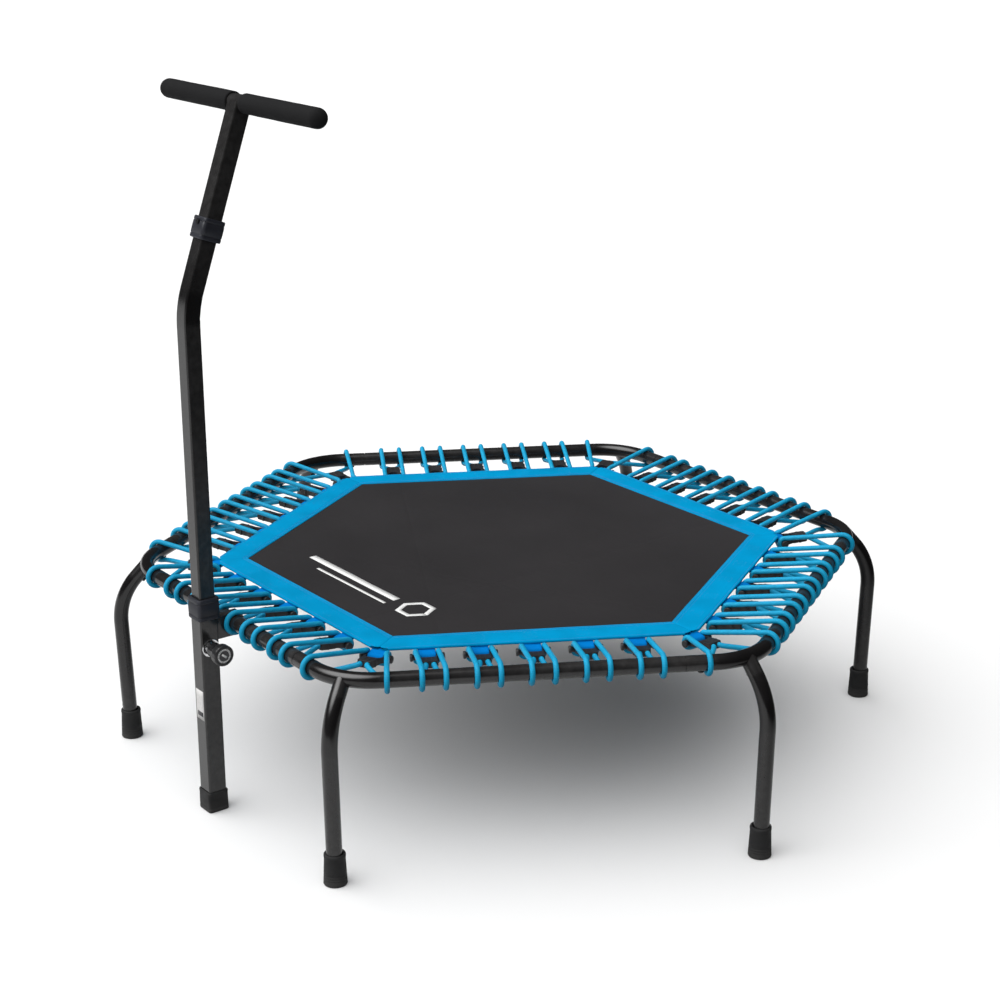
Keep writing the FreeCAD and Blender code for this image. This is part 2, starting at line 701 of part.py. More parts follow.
def tab_stock():
    """A webbing loop around a cross bar; its two layers are sewn together under the border."""
    thick = value("sizes.tab_thickness")
    width = value("sizes.tab_width")
    bar = value("sizes.hook_bar_radius + 0.15")
    top = value("sizes.border_bottom - 0.1")
    length = value("sizes.tab_length")
    inner_tip = vector(-length / 2, 0, top - thick - 0.2)
    outer_tip = vector(-length / 2 - 4 * thick, 0, top - thick)
    loop = teardrop(bar + thick, outer_tip).cut(teardrop(bar, inner_tip))
    sewn = Part.makeBox(length * 0.45, width, 2 * thick, vector(-length, -width / 2, top - 2 * thick))
    strap = loop.extrude(vector(0, width, 0))
    strap.translate(vector(0, -width / 2, 0))
    piece = doc.addObject("Part::Feature", "tab_stock")
    piece.Shape = strap.fuse(sewn).removeSplitter()
    return piece


def hook_stock():
    """A moulded hook: cross bar with end discs, two arms round a window, block for the cord ends."""
    body = new_body("hook_stock")
    arms = new_sketch(body, "hook_plan", "XY_Plane")
    half_width = "sizes.hook_arm_width"
    add_outline(arms, [
        ("sizes.hook_bar_radius * 0.3", f"-{half_width}"),
        ("sizes.hook_bar_radius + 4", f"-{half_width}"),
        ("sizes.hook_window + 4", "-sizes.hook_body_width"),
        ("sizes.hook_window + 4", "sizes.hook_body_width"),
        ("sizes.hook_bar_radius + 4", half_width),
        ("sizes.hook_bar_radius * 0.3", half_width)])
    pad(body, arms, "sizes.hook_arm_height", symmetric=True)
    window = new_sketch(body, "hook_window", "XY_Plane")
    window_width = "sizes.hook_window_width"
    add_outline(window, [
        ("-sizes.hook_bar_radius - 3", f"-{window_width}"),
        ("sizes.hook_window * 0.55", f"-{window_width}"),
        ("sizes.hook_window", "-sizes.hook_body_width + 2"),
        ("sizes.hook_window", "sizes.hook_body_width - 2"),
        ("sizes.hook_window * 0.55", window_width),
        ("-sizes.hook_bar_radius - 3", window_width)])
    pocket(body, window, "sizes.hook_body_height + 2", symmetric=True)
    block = new_sketch(body, "hook_block", "XY_Plane")
    add_outline(block, [
        ("sizes.hook_window + 1", "-sizes.hook_body_width"),
        ("sizes.hook_length", "-sizes.hook_body_width"),
        ("sizes.hook_length", "sizes.hook_body_width"),
        ("sizes.hook_window + 1", "sizes.hook_body_width")])
    pad(body, block, "sizes.hook_body_height", symmetric=True)
    bar = new_sketch(body, "hook_bar", "XZ_Plane")
    add_circle(bar, "rod", "sizes.hook_bar_radius")
    pad(body, bar, "2 * sizes.hook_ear_outer", symmetric=True)
    for sign in ("", "-"):
        ear = new_sketch(body, "hook_ear", "XZ_Plane",
                         f"{sign}(sizes.hook_ear_inner + sizes.hook_ear_outer) / 2")
        add_circle(ear, "ear", "sizes.hook_ear_radius")
        pad(body, ear, "sizes.hook_ear_outer - sizes.hook_ear_inner", symmetric=True)
    for sign in ("", "-"):
        hole = new_sketch(body, "cord_hole", "YZ_Plane", "sizes.hook_length")
        add_circle(hole, "hole", "sizes.cord_hole_radius", f"{sign}sizes.cord_hole_spread")
        pocket(body, hole, "sizes.cord_hole_depth")
    return body


def tilted(frame):
    """A hook's own placement in its local hook frame: raised and tilted about the cross bar."""
    lift = FreeCAD.Placement(vector(0, 0, value("sizes.hook_height")),
                             FreeCAD.Rotation(vector(0, 1, 0), -value("sizes.hook_tilt")))
    return frame.multiply(lift)


# ---------------------------------------------------------------- bungee cords

def strand_edges(yaw, rail_distance):
    """Centre line of half a cord, from its hook hole round the rail and an ear to the middle.

    The strand runs in a vertical plane through the ear, turned by yaw from the hook's X axis;
    rail_distance is the distance in that plane from the ear to the rail's centre line.
    """
    spread = value("sizes.cord_spread")
    wrap = value("sizes.cord_radius + sizes.cord_clearance")
    ear_wrap = value("sizes.hook_bar_radius") + wrap
    rail_wrap = value("sizes.tube_diameter / 2") + wrap
    ear = vector(0, spread, value("sizes.hook_height"))
    straight = vector(1, 0, 0)
    outwards = vector(math.cos(math.radians(yaw)), math.sin(math.radians(yaw)), 0)
    rise = value("sizes.rail_height - sizes.hook_height")
    rail = ear + outwards * rail_distance + Z * rise

    def around(centre, heading, radius, angle):
        return centre + heading * (radius * math.cos(angle)) + Z * (radius * math.sin(angle))

    def along(heading, angle):
        return heading * -math.sin(angle) + Z * math.cos(angle)

    span = math.hypot(rail_distance, rise)
    slope = math.atan2(rise, rail_distance) + math.asin((rail_wrap - ear_wrap) / span)
    top = slope + math.pi / 2
    tilt = math.radians(value("sizes.hook_tilt"))
    reach = value("sizes.hook_length")
    hole_dir = vector(math.cos(tilt), 0, math.sin(tilt))
    bar = vector(0, value("sizes.cord_hole_spread"), value("sizes.hook_height"))
    mouth = bar + hole_dir * (reach + 2)
    blind = bar + hole_dir * (reach - value("sizes.cord_hole_depth") + 1)
    bottom = top - math.radians(204)
    under = around(rail, outwards, rail_wrap, bottom)
    lower = Part.BSplineCurve()
    lower.interpolate(Points=[mouth, under], InitialTangent=hole_dir * 40,
                      FinalTangent=along(outwards, bottom) * 45)
    over = around(rail, outwards, rail_wrap, top)
    strand_end = around(ear, outwards, ear_wrap, top)
    strand_end += (over - strand_end).normalize() * value("sizes.cord_turn")
    seat = Part.BSplineCurve()
    seat.interpolate(Points=[strand_end, around(ear, straight, ear_wrap, top)],
                     InitialTangent=(strand_end - over).normalize() * value("sizes.cord_turn"),
                     FinalTangent=along(straight, top) * value("sizes.cord_turn"))
    ear_low = math.radians(225)
    leave = around(ear, straight, ear_wrap, ear_low)
    middle = vector(-4.5, 0, value("sizes.hook_height") - ear_wrap - 2)
    bite = Part.BSplineCurve()
    bite.interpolate(Points=[leave, middle], InitialTangent=along(straight, ear_low) * 17,
                     FinalTangent=vector(0, -24, 0))
    return [
        Part.makeLine(blind, mouth),
        lower.toShape(),
        Part.Arc(under, around(rail, outwards, rail_wrap, (top + bottom) / 2), over).toShape(),
        Part.makeLine(over, strand_end),
        seat.toShape(),
        Part.Arc(around(ear, straight, ear_wrap, top),
                 around(ear, straight, ear_wrap, (top + ear_low) / 2), leave).toShape(),
        bite.toShape(),
    ]


def cord_stock(name, yaw, rail_distance):
    """One cord: up round the rail twice, round both ears, with both ends in the hook."""
    half = strand_edges(yaw, rail_distance)
    mirror = FreeCAD.Matrix()
    mirror.scale(1, -1, 1)
    other = [edge.transformGeometry(mirror) for edge in reversed(half)]
    path = Part.Wire(Part.__sortEdges__(half + other))
    start = path.OrderedVertexes[0].Point
    first = path.OrderedEdges[0]
    direction = (first.Vertexes[1].Point - first.Vertexes[0].Point).normalize()
    section = Part.Wire(Part.makeCircle(value("sizes.cord_radius"), start, direction))
    piece = doc.addObject("Part::Feature", name)
    piece.Shape = path.makePipeShell([section], True, False)
    return piece


def bed_hangers():
    """Webbing tabs, hooks and cords of the six sides and the six corners."""
    tab = tab_stock()
    hook = hook_stock()
    rail = value(RAIL_APOTHEM)
    yaw = value("sizes.corner_cord_yaw")
    corner = value("sizes.hook_corner_distance")
    inset = corner * math.cos(math.radians(30)) + value("sizes.cord_spread") / 2
    corner_span = (rail - inset) / math.cos(math.radians(30 - yaw))
    side_cord = cord_stock("side_cord_stock", 0, rail - value("sizes.hook_distance"))
    corner_cord = cord_stock("corner_cord_stock", yaw, corner_span)
    side_frames = side_hook_frames()
    corner_frames = corner_hook_frames()
    copies("mat_tabs", tab, side_frames + corner_frames)
    copies("side_hooks", hook, [tilted(frame) for frame in side_frames])
    copies("corner_hooks", hook, [tilted(frame) for frame in corner_frames])
    copies("side_cords", side_cord, side_frames)
    copies("corner_cords", corner_cord, corner_frames)


# ---------------------------------------------------------------- post and bracket

def post_place(height):
    return shifted(0, -value("sizes.post_distance"), height)


def box(name, width, depth, height, placement):
    """A block centred on its placement in X; Y and Z run from it."""
    piece = doc.addObject("Part::Box", name)
    piece.setExpression("Length", width)
    piece.setExpression("Width", depth)
    piece.setExpression("Height", height)
    half = value(width) / 2
    piece.Placement = placement.multiply(shifted(-half, 0, 0))
    return piece


def post_tube():
    """Square post with the hole for the pull pin in its +X wall."""
    body = new_body("post_blank", post_place(value("sizes.post_bottom")))
    sketch = square_ring_sketch(body, "post_section", "XY_Plane", "sizes.post_width",
                                "sizes.post_wall", "sizes.post_corner")
    pad(body, sketch, "sizes.post_top - sizes.post_bottom")
    drill = cylinder("post_drill", "sizes.pin_hole_radius", "sizes.post_width",
                     placed(vector(0, -value("sizes.post_distance"), value("sizes.pin_height")),
                            vector(0, 1, 0), Z))
    keep(cut("post_tube", body, drill), "post_tube")


def post_foot():
    """Rubber cap on the lower end of the post."""
    body = new_body("post_foot", post_place(0))
    outer = new_sketch(body, "cap_section", "XY_Plane")
    add_rounded_square(outer, "outer", "sizes.cap_width", "sizes.post_corner + 2")
    pad(body, outer, "sizes.cap_height")
    inner = new_sketch(body, "cap_socket", "XY_Plane", "sizes.cap_height")
    add_rounded_square(inner, "inner", "sizes.post_width + 2 * sizes.fit_gap",
                       "sizes.post_corner - 0.2")
    pocket(body, inner, "sizes.cap_height - sizes.cap_floor")
    top = value("sizes.cap_height")
    soften(body, "1", lambda edge: edge.BoundBox.ZMin > top - 0.01 and edge.BoundBox.ZMax < top + 0.01
           and max(abs(edge.BoundBox.XMin), abs(edge.BoundBox.XMax),
                   abs(edge.CenterOfMass.y)) > value("sizes.post_width / 2 + 1"))
    keep(body, "post_foot")


def rail_cylinder(name, radius):
    """The handle side's rail as a solid round bar."""
    rail = -value(RAIL_APOTHEM)
    start = vector(-60, rail, value("sizes.rail_height"))
    return cylinder(name, radius, "120", placed(start, vector(0, 1, 0), Z))


def bracket_bolt_places():
    """Bolt seats on the inner face of the saddle, with Z pointing to the bed."""
    places = []
    for sign in (-1, 1):
        origin = vector(sign * value("sizes.bracket_bolt_spread"), -value("sizes.saddle_inner"),
                        value("sizes.rail_height"))
        places.append(placed(origin, vector(1, 0, 0), vector(0, 0, -1)))
    return places


def bracket_drills():
    """The two bolt holes, through saddle, rail and bracket."""
    drills = []
    for number, place in enumerate(bracket_bolt_places(), start=1):
        deep = place.multiply(shifted(0, 0, -value("sizes.bracket_bolt_length") - 0.5))
        drills.append(cylinder(f"bracket_drill_{number}", "sizes.screw_radius + 0.1",
                               "sizes.bracket_bolt_length + 5", deep))
    return join("bracket_drills", *drills)


def rail_bracket(drills):
    """Bracket welded to the post and the saddle that holds the rail against it."""
    rail = value(RAIL_APOTHEM)
    post_face = value("sizes.post_distance - sizes.post_width / 2 - sizes.fit_gap")
    bore = rail_cylinder("bracket_rail_bore", "sizes.tube_diameter / 2 + sizes.fit_gap")
    tools = join("bracket_tools", bore, drills)
    block = box("bracket_block", "sizes.bracket_width", f"{post_face - rail}",
                "sizes.bracket_height", shifted(0, -post_face, value("sizes.bracket_bottom")))
    low = value("sizes.rail_height - sizes.saddle_height / 2")
    saddle = box("saddle_block", "sizes.bracket_width", f"{rail} - sizes.saddle_inner - 3",
                 "sizes.saddle_height", shifted(0, -rail + 3, low))
    keep(cut("post_bracket", block, tools), "post_bracket")
    keep(cut("rail_saddle", saddle, tools), "rail_saddle")


def bracket_bolts():
    """Two long button-head bolts."""
    head = cylinder("bolt_head", "sizes.screw_head_radius", "sizes.screw_head_height",
                    FreeCAD.Placement())
    shank = cylinder("bolt_shank", "sizes.screw_radius", "sizes.bracket_bolt_length",
                     shifted(0, 0, -value("sizes.bracket_bolt_length")))
    socket = cylinder("bolt_socket", "sizes.screw_radius * 0.6", "sizes.screw_head_height",
                      shifted(0, 0, value("sizes.screw_head_height * 0.4")))
    bolt = cut("bolt_stock", join("bolt_blank", head, shank), socket)
    copies("bracket_bolts", bolt, bracket_bolt_places())


def lower_collar():
    """Plastic collar on the post; its lip guides the mast."""
    body = new_body("lower_collar", post_place(value("sizes.collar_bottom")))
    outer = new_sketch(body, "collar_section", "XY_Plane")
    add_rounded_square(outer, "outer", "sizes.collar_width", "6")
    pad(body, outer, "sizes.collar_top - sizes.collar_bottom")
    inner = new_sketch(body, "collar_socket", "XY_Plane")
    add_rounded_square(inner, "inner", "sizes.post_width + 2 * sizes.fit_gap",
                       "sizes.post_corner - 0.2")
    pocket(body, inner, "sizes.post_top - sizes.collar_bottom + 0.1", reverse=True)
    lip = new_sketch(body, "collar_lip", "XY_Plane")
    add_rounded_square(lip, "lip", "sizes.mast_width + 2 * sizes.fit_gap",
                       "sizes.mast_corner - 0.2")
    pocket(body, lip, "sizes.collar_top", reverse=True)
    keep(body, "lower_collar")


# ---------------------------------------------------------------- mast

MAST_TANGENT = "sizes.mast_bend_radius * tan(sizes.mast_bend_angle / 2 * 1 deg)"
LEAN_LENGTH = ("(sizes.bar_height - sizes.mast_bend_height)"
               " / cos(sizes.mast_bend_angle * 1 deg)")


def lean_place(distance):
    """Placement on the leaning part of the mast: X across it, Z along it."""
    angle = math.radians(value("sizes.mast_bend_angle"))
    along = vector(0, math.sin(angle), math.cos(angle))
    bend = vector(0, -value("sizes.post_distance"), value("sizes.mast_bend_height"))
    return placed(bend + along * distance, vector(1, 0, 0), along.cross(vector(1, 0, 0)))


def mast_screw_place(surface):
    """Seat of the mast screw on the outward side, surface mm from the tube's centre line."""
    place = lean_place(value("sizes.mast_joint + sizes.upper_screw_place"))
    axes = place.Rotation
    outwards = axes.multVec(vector(0, -1, 0))
    return placed(place.Base + outwards * surface, vector(1, 0, 0), outwards.cross(vector(1, 0, 0)))


def mast_tube():
    """Lower mast: square tube with one bend and a row of holes for the pull pin."""
    start = vector(0, -value("sizes.post_distance"), value("sizes.mast_bottom"))
    body = bent_tube(
        "mast_tube",
        f"sizes.mast_bend_height - sizes.mast_bottom - {MAST_TANGENT}",
        "sizes.mast_bend_radius", "sizes.mast_bend_angle",
        f"sizes.mast_joint - sizes.mast_joint_gap / 2 - {MAST_TANGENT}",
        mast_profile, placed(start, Z, vector(0, 1, 0)))
    lowest = ("sizes.pin_height - sizes.mast_bottom"
              f" - {HEIGHT_STEPS - 1} * sizes.pin_hole_spacing")
    sketch = new_sketch(body, "pin_hole", "XY_Plane")
    add_circle(sketch, "hole", "sizes.pin_hole_radius", lowest)
    hole = pocket(body, sketch, "sizes.mast_width")
    single = body.Shape.Volume
    row = body.newObject("PartDesign::LinearPattern", "pin_holes")
    row.Originals = [hole]
    row.Direction = (sketch, ["H_Axis"])
    row.Occurrences = HEIGHT_STEPS
    row.setExpression("Length", f"{HEIGHT_STEPS - 1} * sizes.pin_hole_spacing")
    body.Tip = row
    doc.recompute()
    if body.Shape.Volume > single - 1:
        raise RuntimeError("the row of pin holes removes nothing")
    keep(body, "mast_tube")


def mast_guide():
    """Plastic plug that closes the mast's lower end and guides it in the post."""
    body = new_body("mast_guide", post_place(value("sizes.mast_bottom")))
    flange = new_sketch(body, "guide_flange", "XY_Plane")
    add_rounded_square(flange, "outer", "sizes.mast_guide_width", "2.2")
    plate = pad(body, flange, "sizes.mast_guide_flange")
    plate.Reversed = True
    stem = new_sketch(body, "guide_stem", "XY_Plane")
    add_rounded_square(stem, "stem",
                       "sizes.mast_width - 2 * sizes.mast_wall - 2 * sizes.fit_gap", "2")
    pad(body, stem, "sizes.mast_guide_stem")
    keep(body, "mast_guide")


def mast_joint():
    """Inner square tube, outer collar and screw that join the two mast tubes."""
    inner_width = "sizes.mast_width - 2 * sizes.mast_wall - 4 * sizes.fit_gap"
    drill = cylinder("mast_drill", "sizes.screw_radius * 0.84", "sizes.upper_collar_width",
                     mast_screw_place(5))
    spigot = new_body("mast_spigot_blank", lean_place(value("sizes.mast_joint")))
    section = square_ring_sketch(spigot, "mast_spigot_section", "XY_Plane", inner_width,
                                 "sizes.mast_wall", "2")
    pad(spigot, section, "sizes.mast_spigot_length", symmetric=True)
    keep(cut("mast_spigot", spigot, drill), "mast_spigot")
    collar = new_body("upper_collar_blank", lean_place(value("sizes.mast_joint")))
    section = new_sketch(collar, "upper_collar_section", "XY_Plane")
    add_rounded_square(section, "outer", "sizes.upper_collar_width", "5.5")
    add_rounded_square(section, "inner", "sizes.mast_width + 2 * sizes.fit_gap",
                       "sizes.mast_corner - 0.2")
    pad(collar, section, "sizes.upper_collar_length", symmetric=True)
    keep(cut("upper_collar", collar, drill), "upper_collar")
    return drill


def mast_screw():
    """Self-tapping screw through the collar and the upper tube into the spigot."""
    surface = value("sizes.upper_collar_width / 2")
    head = cylinder("mast_screw_head", "sizes.screw_head_radius * 0.85",
                    "sizes.screw_head_height * 0.8", mast_screw_place(surface))
    shank = cylinder("mast_screw_shank", "sizes.screw_radius * 0.8", "9",
                     mast_screw_place(surface - 9))
    keep(join("mast_screw", head, shank), "mast_screw")


def handle_tube(drill):
    """Upper mast tube, coped to the T-bar."""
    body = new_body("handle_tube_blank",
                    lean_place(value("sizes.mast_joint + sizes.mast_joint_gap / 2")))
    section = square_ring_sketch(body, "handle_section", "XY_Plane", "sizes.mast_width",
                                 "sizes.mast_wall", "sizes.mast_corner")
    pad(body, section, f"{LEAN_LENGTH} - sizes.mast_joint - sizes.mast_joint_gap / 2")
    centre = lean_place(value(LEAN_LENGTH)).Base
    bar = cylinder("bar_cope", "sizes.bar_radius + sizes.fit_gap", "60",
                   placed(centre - vector(30, 0, 0), vector(0, 1, 0), Z))
    keep(cut("handle_tube", body, join("handle_tools", bar, drill)), "handle_tube")


def bar_place(turn=0):
    """Placement at the middle of the T-bar; the piece is drawn along its X axis."""
    centre = lean_place(value(LEAN_LENGTH)).Base
    return FreeCAD.Placement(centre, FreeCAD.Rotation(Z, turn))


def crossbar():
    """The tube of the T-bar."""
    body = new_body("crossbar", bar_place())
    sketch = new_sketch(body, "bar_section", "YZ_Plane")
    add_circle(sketch, "outer", "sizes.bar_radius")
    add_circle(sketch, "inner", "sizes.bar_radius - sizes.tube_wall")
    pad(body, sketch, "2 * sizes.bar_half_length", symmetric=True)
    keep(body, "crossbar")


def bar_plugs():
    """Plastic plugs in both ends of the T-bar."""
    body = new_body("bar_plug")
    sketch = new_sketch(body, "plug_section", "XZ_Plane")
    inner = "sizes.bar_radius - sizes.tube_wall - sizes.fit_gap"
    add_outline(sketch, [
        ("sizes.bar_half_length - sizes.plug_length", "0"),
        ("sizes.bar_half_length + sizes.plug_flange", "0"),
        ("sizes.bar_half_length + sizes.plug_flange", "sizes.bar_radius - 0.3"),
        ("sizes.bar_half_length + sizes.fit_gap", "sizes.bar_radius - 0.3"),
        ("sizes.bar_half_length + sizes.fit_gap", inner),
        ("sizes.bar_half_length - sizes.plug_length", inner)])
    revolve(body, sketch, "H_Axis")
    copies("bar_plugs", body, [bar_place(), bar_place(180)])


def foam_grip(label, turn):
    """Foam grip: a sleeve with a rounded closed end."""
    body = new_body(label, bar_place(turn))
    sketch = new_sketch(body, label + "_section", "XZ_Plane")
    radius, end = value("sizes.grip_radius"), value("sizes.grip_end")
    start, bore = value("sizes.grip_start"), value("sizes.grip_bore_radius")
    bottom = value("sizes.grip_bore_end")
    edge, centre = value("sizes.grip_edge"), end - radius
    corners = [(end, 0), (bottom, 0), (bottom, bore), (start, bore),
               (start, radius - edge), (start + edge, radius), (centre, radius)]
    for (x0, y0), (x1, y1) in zip(corners, corners[1:]):
        sketch.addGeometry(Part.LineSegment(vector(x0, y0, 0), vector(x1, y1, 0)))
    circle = Part.Circle(vector(centre, 0, 0), Z, radius)
    dome = sketch.addGeometry(Part.ArcOfCircle(circle, 0, math.pi / 2))
    for i in range(5):
        sketch.addConstraint(Sketcher.Constraint("Coincident", i, 2, i + 1, 1))
    sketch.addConstraint(Sketcher.Constraint("Coincident", 0, 1, dome, 1))
    sketch.addConstraint(Sketcher.Constraint("Tangent", 5, 2, dome, 2))
    sketch.addConstraint(Sketcher.Constraint("PointOnObject", dome, 3, -1))
    sketch.addConstraint(Sketcher.Constraint("Horizontal", 0))
    sketch.addConstraint(Sketcher.Constraint("Vertical", 1))
    sketch.addConstraint(Sketcher.Constraint("Horizontal", 2))
    sketch.addConstraint(Sketcher.Constraint("Vertical", 3))
    dimension(sketch, "grip_radius", "sizes.grip_radius", "Radius", dome)
    dimension(sketch, "grip_end", "sizes.grip_end", "DistanceX", -1, 1, 0, 1)
    dimension(sketch, "bore_end", "sizes.grip_bore_end", "DistanceX", -1, 1, 0, 2)
    dimension(sketch, "bore", "sizes.grip_bore_radius", "DistanceY", -1, 1, 1, 2)
    dimension(sketch, "grip_start", "sizes.grip_start", "DistanceX", -1, 1, 3, 1)
    dimension(sketch, "edge_x", "sizes.grip_edge", "DistanceX", 4, 1, 4, 2)
    dimension(sketch, "edge_y", "sizes.grip_edge", "DistanceY", 4, 1, 4, 2)
    revolve(body, sketch, "H_Axis")
    keep(body, label)


# ---------------------------------------------------------------- pull pin

def pin_place():
    """Placement on the pull pin's axis in the mast's middle; pieces are drawn along X."""
    return post_place(value("sizes.pin_height"))


def turned_piece(label, outline):
    """A round piece on the pin's axis, given by its half section."""
    body = new_body(label, pin_place())
    sketch = new_sketch(body, label + "_section", "XZ_Plane")
    add_outline(sketch, outline)
    revolve(body, sketch, "H_Axis")
    return keep(body, label)


def pull_pin_parts():
    """Washer, housing, pin, knob and the disc in the knob's face."""
    turned_piece("pin_washer", [
        ("sizes.housing_start", "sizes.housing_radius + 0.1"),
        ("sizes.washer_end", "sizes.housing_radius + 0.1"),
        ("sizes.washer_end", "sizes.washer_radius - 0.6"),
        ("sizes.washer_end - 0.6", "sizes.washer_radius"),
        ("sizes.housing_start", "sizes.washer_radius")])
    bore = "sizes.pin_radius + sizes.fit_gap"
    turned_piece("pin_housing", [
        ("sizes.housing_start", bore),
        ("sizes.housing_floor", bore),
        ("sizes.housing_floor", "sizes.housing_bore"),
        ("sizes.housing_lip", "sizes.housing_bore"),
        ("sizes.housing_lip", bore),
        ("sizes.housing_end", bore),
        ("sizes.housing_end", "sizes.housing_radius"),
        ("sizes.housing_start", "sizes.housing_radius")])
    turned_piece("pull_pin", [
        ("sizes.pin_start", "0"),
        ("sizes.pin_end", "0"),
        ("sizes.pin_end", "sizes.pin_radius"),
        ("sizes.pin_collar_end", "sizes.pin_radius"),
        ("sizes.pin_collar_end", "sizes.pin_collar_radius"),
        ("sizes.pin_collar_start", "sizes.pin_collar_radius"),
        ("sizes.pin_collar_start", "sizes.pin_radius"),
        ("sizes.pin_start + 1", "sizes.pin_radius"),
        ("sizes.pin_start", "sizes.pin_radius - 1")])
    turned_piece("pull_knob", [
        ("sizes.knob_start", "sizes.knob_chamber"),
        ("sizes.knob_floor", "sizes.knob_chamber"),
        ("sizes.knob_floor", bore),
        ("sizes.knob_end - sizes.knob_recess", bore),
        ("sizes.knob_end - sizes.knob_recess", "sizes.disc_radius + 0.2"),
        ("sizes.knob_end", "sizes.disc_radius + 0.2"),
        ("sizes.knob_end", "sizes.knob_cap_radius - 2"),
        ("sizes.knob_end - 2", "sizes.knob_cap_radius"),
        ("sizes.knob_shoulder + 3", "sizes.knob_cap_radius"),
        ("sizes.knob_shoulder", "sizes.knob_skirt_radius"),
        ("sizes.knob_start", "sizes.knob_skirt_radius")])
    turned_piece("knob_disc", [
        ("sizes.knob_end - sizes.knob_recess + 0.05", "0"),
        ("sizes.knob_end - 0.3", "0"),
        ("sizes.knob_end - 0.3", "sizes.disc_radius"),
        ("sizes.knob_end - sizes.knob_recess + 0.05", "sizes.disc_radius")])


def pin_spring():
    """Compression spring between the pin's shoulder and the housing's lip."""
    wire = value("sizes.spring_wire")
    start = value("sizes.pin_collar_end") + wire + 0.1
    length = value("sizes.housing_lip") - wire - 0.1 - start
    turns = length / value("sizes.spring_pitch")
    count = int(turns * SPRING_POINTS_PER_TURN)
    points = []
    for index in range(count + 1):
        coil = turned(360 * turns * index / count).multVec(vector(value("sizes.spring_radius"), 0, 0))
        points.append(coil + Z * (length * index / count))
    curve = Part.BSplineCurve()
    curve.interpolate(points)
    line = curve.toShape()
    section = Part.Wire(Part.makeCircle(wire, points[0], line.tangentAt(line.FirstParameter)))
    spring = doc.addObject("Part::Feature", "pin_spring")
    spring.Shape = Part.Wire(line).makePipeShell([section], True, True)
    along = placed(vector(start, 0, 0), vector(0, 1, 0), Z)
    spring.Placement = pin_place().multiply(along)
    keep(spring, "pin_spring")


# ---------------------------------------------------------------- build and write

def build():
    bolt_holes = bracket_drills()
    for index in range(CORNERS):
        tube = frame_tube(index)
        if index == HANDLE_SIDE:
            tube = cut("drilled_frame_tube", tube, bolt_holes)
        keep(tube, f"frame_tube_{index + 1}")
    joint_spigots()
    screw = screw_stock()
    joint_screws(screw)
    tools = leg_tools()
    legs(tools)
    leg_spigots(tools)
    leg_screws(screw)
    feet()
    jump_mat()
    mat_border()
    bed_hangers()
    post_tube()
    post_foot()
    rail_bracket(bolt_holes)
    bracket_bolts()
    lower_collar()
    mast_tube()
    mast_guide()
    drill = mast_joint()
    mast_screw()
    handle_tube(drill)
    crossbar()
    bar_plugs()
    foam_grip("grip_left", 180)
    foam_grip("grip_right", 0)
    pull_pin_parts()
    pin_spring()
    doc.recompute()


def check():
    """Stops if any object failed or any sub-part has no valid solid."""
    for item in doc.Objects:
        if "Invalid" in item.State or "Error" in item.State:
            raise RuntimeError(f"{item.Label} failed: {item.State}")
    for piece in parts:
        shape = piece.Shape
        if shape.isNull() or not shape.isValid() or not shape.Solids:
            raise RuntimeError(f"{piece.Label} has no valid solid")


def write():
    """Writes one file per sub-part, moved so that the middle of the whole box is the origin."""
    os.makedirs("parts", exist_ok=True)
    for piece in parts:
        shape = piece.Shape.copy()
        shape.translate(vector(0, value("sizes.hexagon_centre"), 0))
        shape.exportStep(f"parts/{piece.Label}.step")
        print(piece.Label, len(piece.Shape.Solids), round(piece.Shape.Volume))


build()
check()
write()
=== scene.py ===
"""Looks of a hexagonal mini trampoline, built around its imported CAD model.

Pieces are worked out about the hexagon's centre on the floor: +Z up, the hand support on the -Y side,
a corner on +X. Sizes are in millimetres; settled() moves them into the CAD model's frame, in metres.
A "hook frame" has its X axis pointing away from the bed, Y along the rail and Z up.
"""

import json
from math import asin, atan2, cos, dist, exp, hypot, pi, radians, sin, tan

import bpy
from mathutils import Matrix, Vector, noise

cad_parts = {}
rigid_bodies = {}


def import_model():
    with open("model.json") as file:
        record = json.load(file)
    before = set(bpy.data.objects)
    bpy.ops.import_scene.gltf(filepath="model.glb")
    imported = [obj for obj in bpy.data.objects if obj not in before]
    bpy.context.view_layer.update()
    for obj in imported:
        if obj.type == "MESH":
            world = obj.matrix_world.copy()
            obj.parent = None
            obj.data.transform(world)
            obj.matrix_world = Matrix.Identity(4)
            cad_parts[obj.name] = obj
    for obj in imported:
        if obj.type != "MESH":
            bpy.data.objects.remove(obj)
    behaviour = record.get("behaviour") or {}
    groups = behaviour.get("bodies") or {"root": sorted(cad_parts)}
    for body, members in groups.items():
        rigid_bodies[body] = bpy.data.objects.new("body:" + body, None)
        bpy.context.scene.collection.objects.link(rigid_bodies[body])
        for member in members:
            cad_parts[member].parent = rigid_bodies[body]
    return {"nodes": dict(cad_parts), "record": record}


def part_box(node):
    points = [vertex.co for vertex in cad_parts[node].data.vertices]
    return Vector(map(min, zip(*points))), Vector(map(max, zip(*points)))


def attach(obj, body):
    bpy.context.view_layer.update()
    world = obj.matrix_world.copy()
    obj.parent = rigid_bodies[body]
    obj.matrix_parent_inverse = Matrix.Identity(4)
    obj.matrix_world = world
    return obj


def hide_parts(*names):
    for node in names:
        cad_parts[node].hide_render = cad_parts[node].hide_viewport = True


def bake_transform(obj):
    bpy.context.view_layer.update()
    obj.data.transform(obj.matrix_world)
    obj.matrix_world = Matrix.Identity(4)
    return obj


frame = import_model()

for stray in [item for item in bpy.data.objects if item.name in ("Cube", "Light", "Camera")]:
    bpy.data.objects.remove(stray)
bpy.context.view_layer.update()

# ---------------- sizes, mm

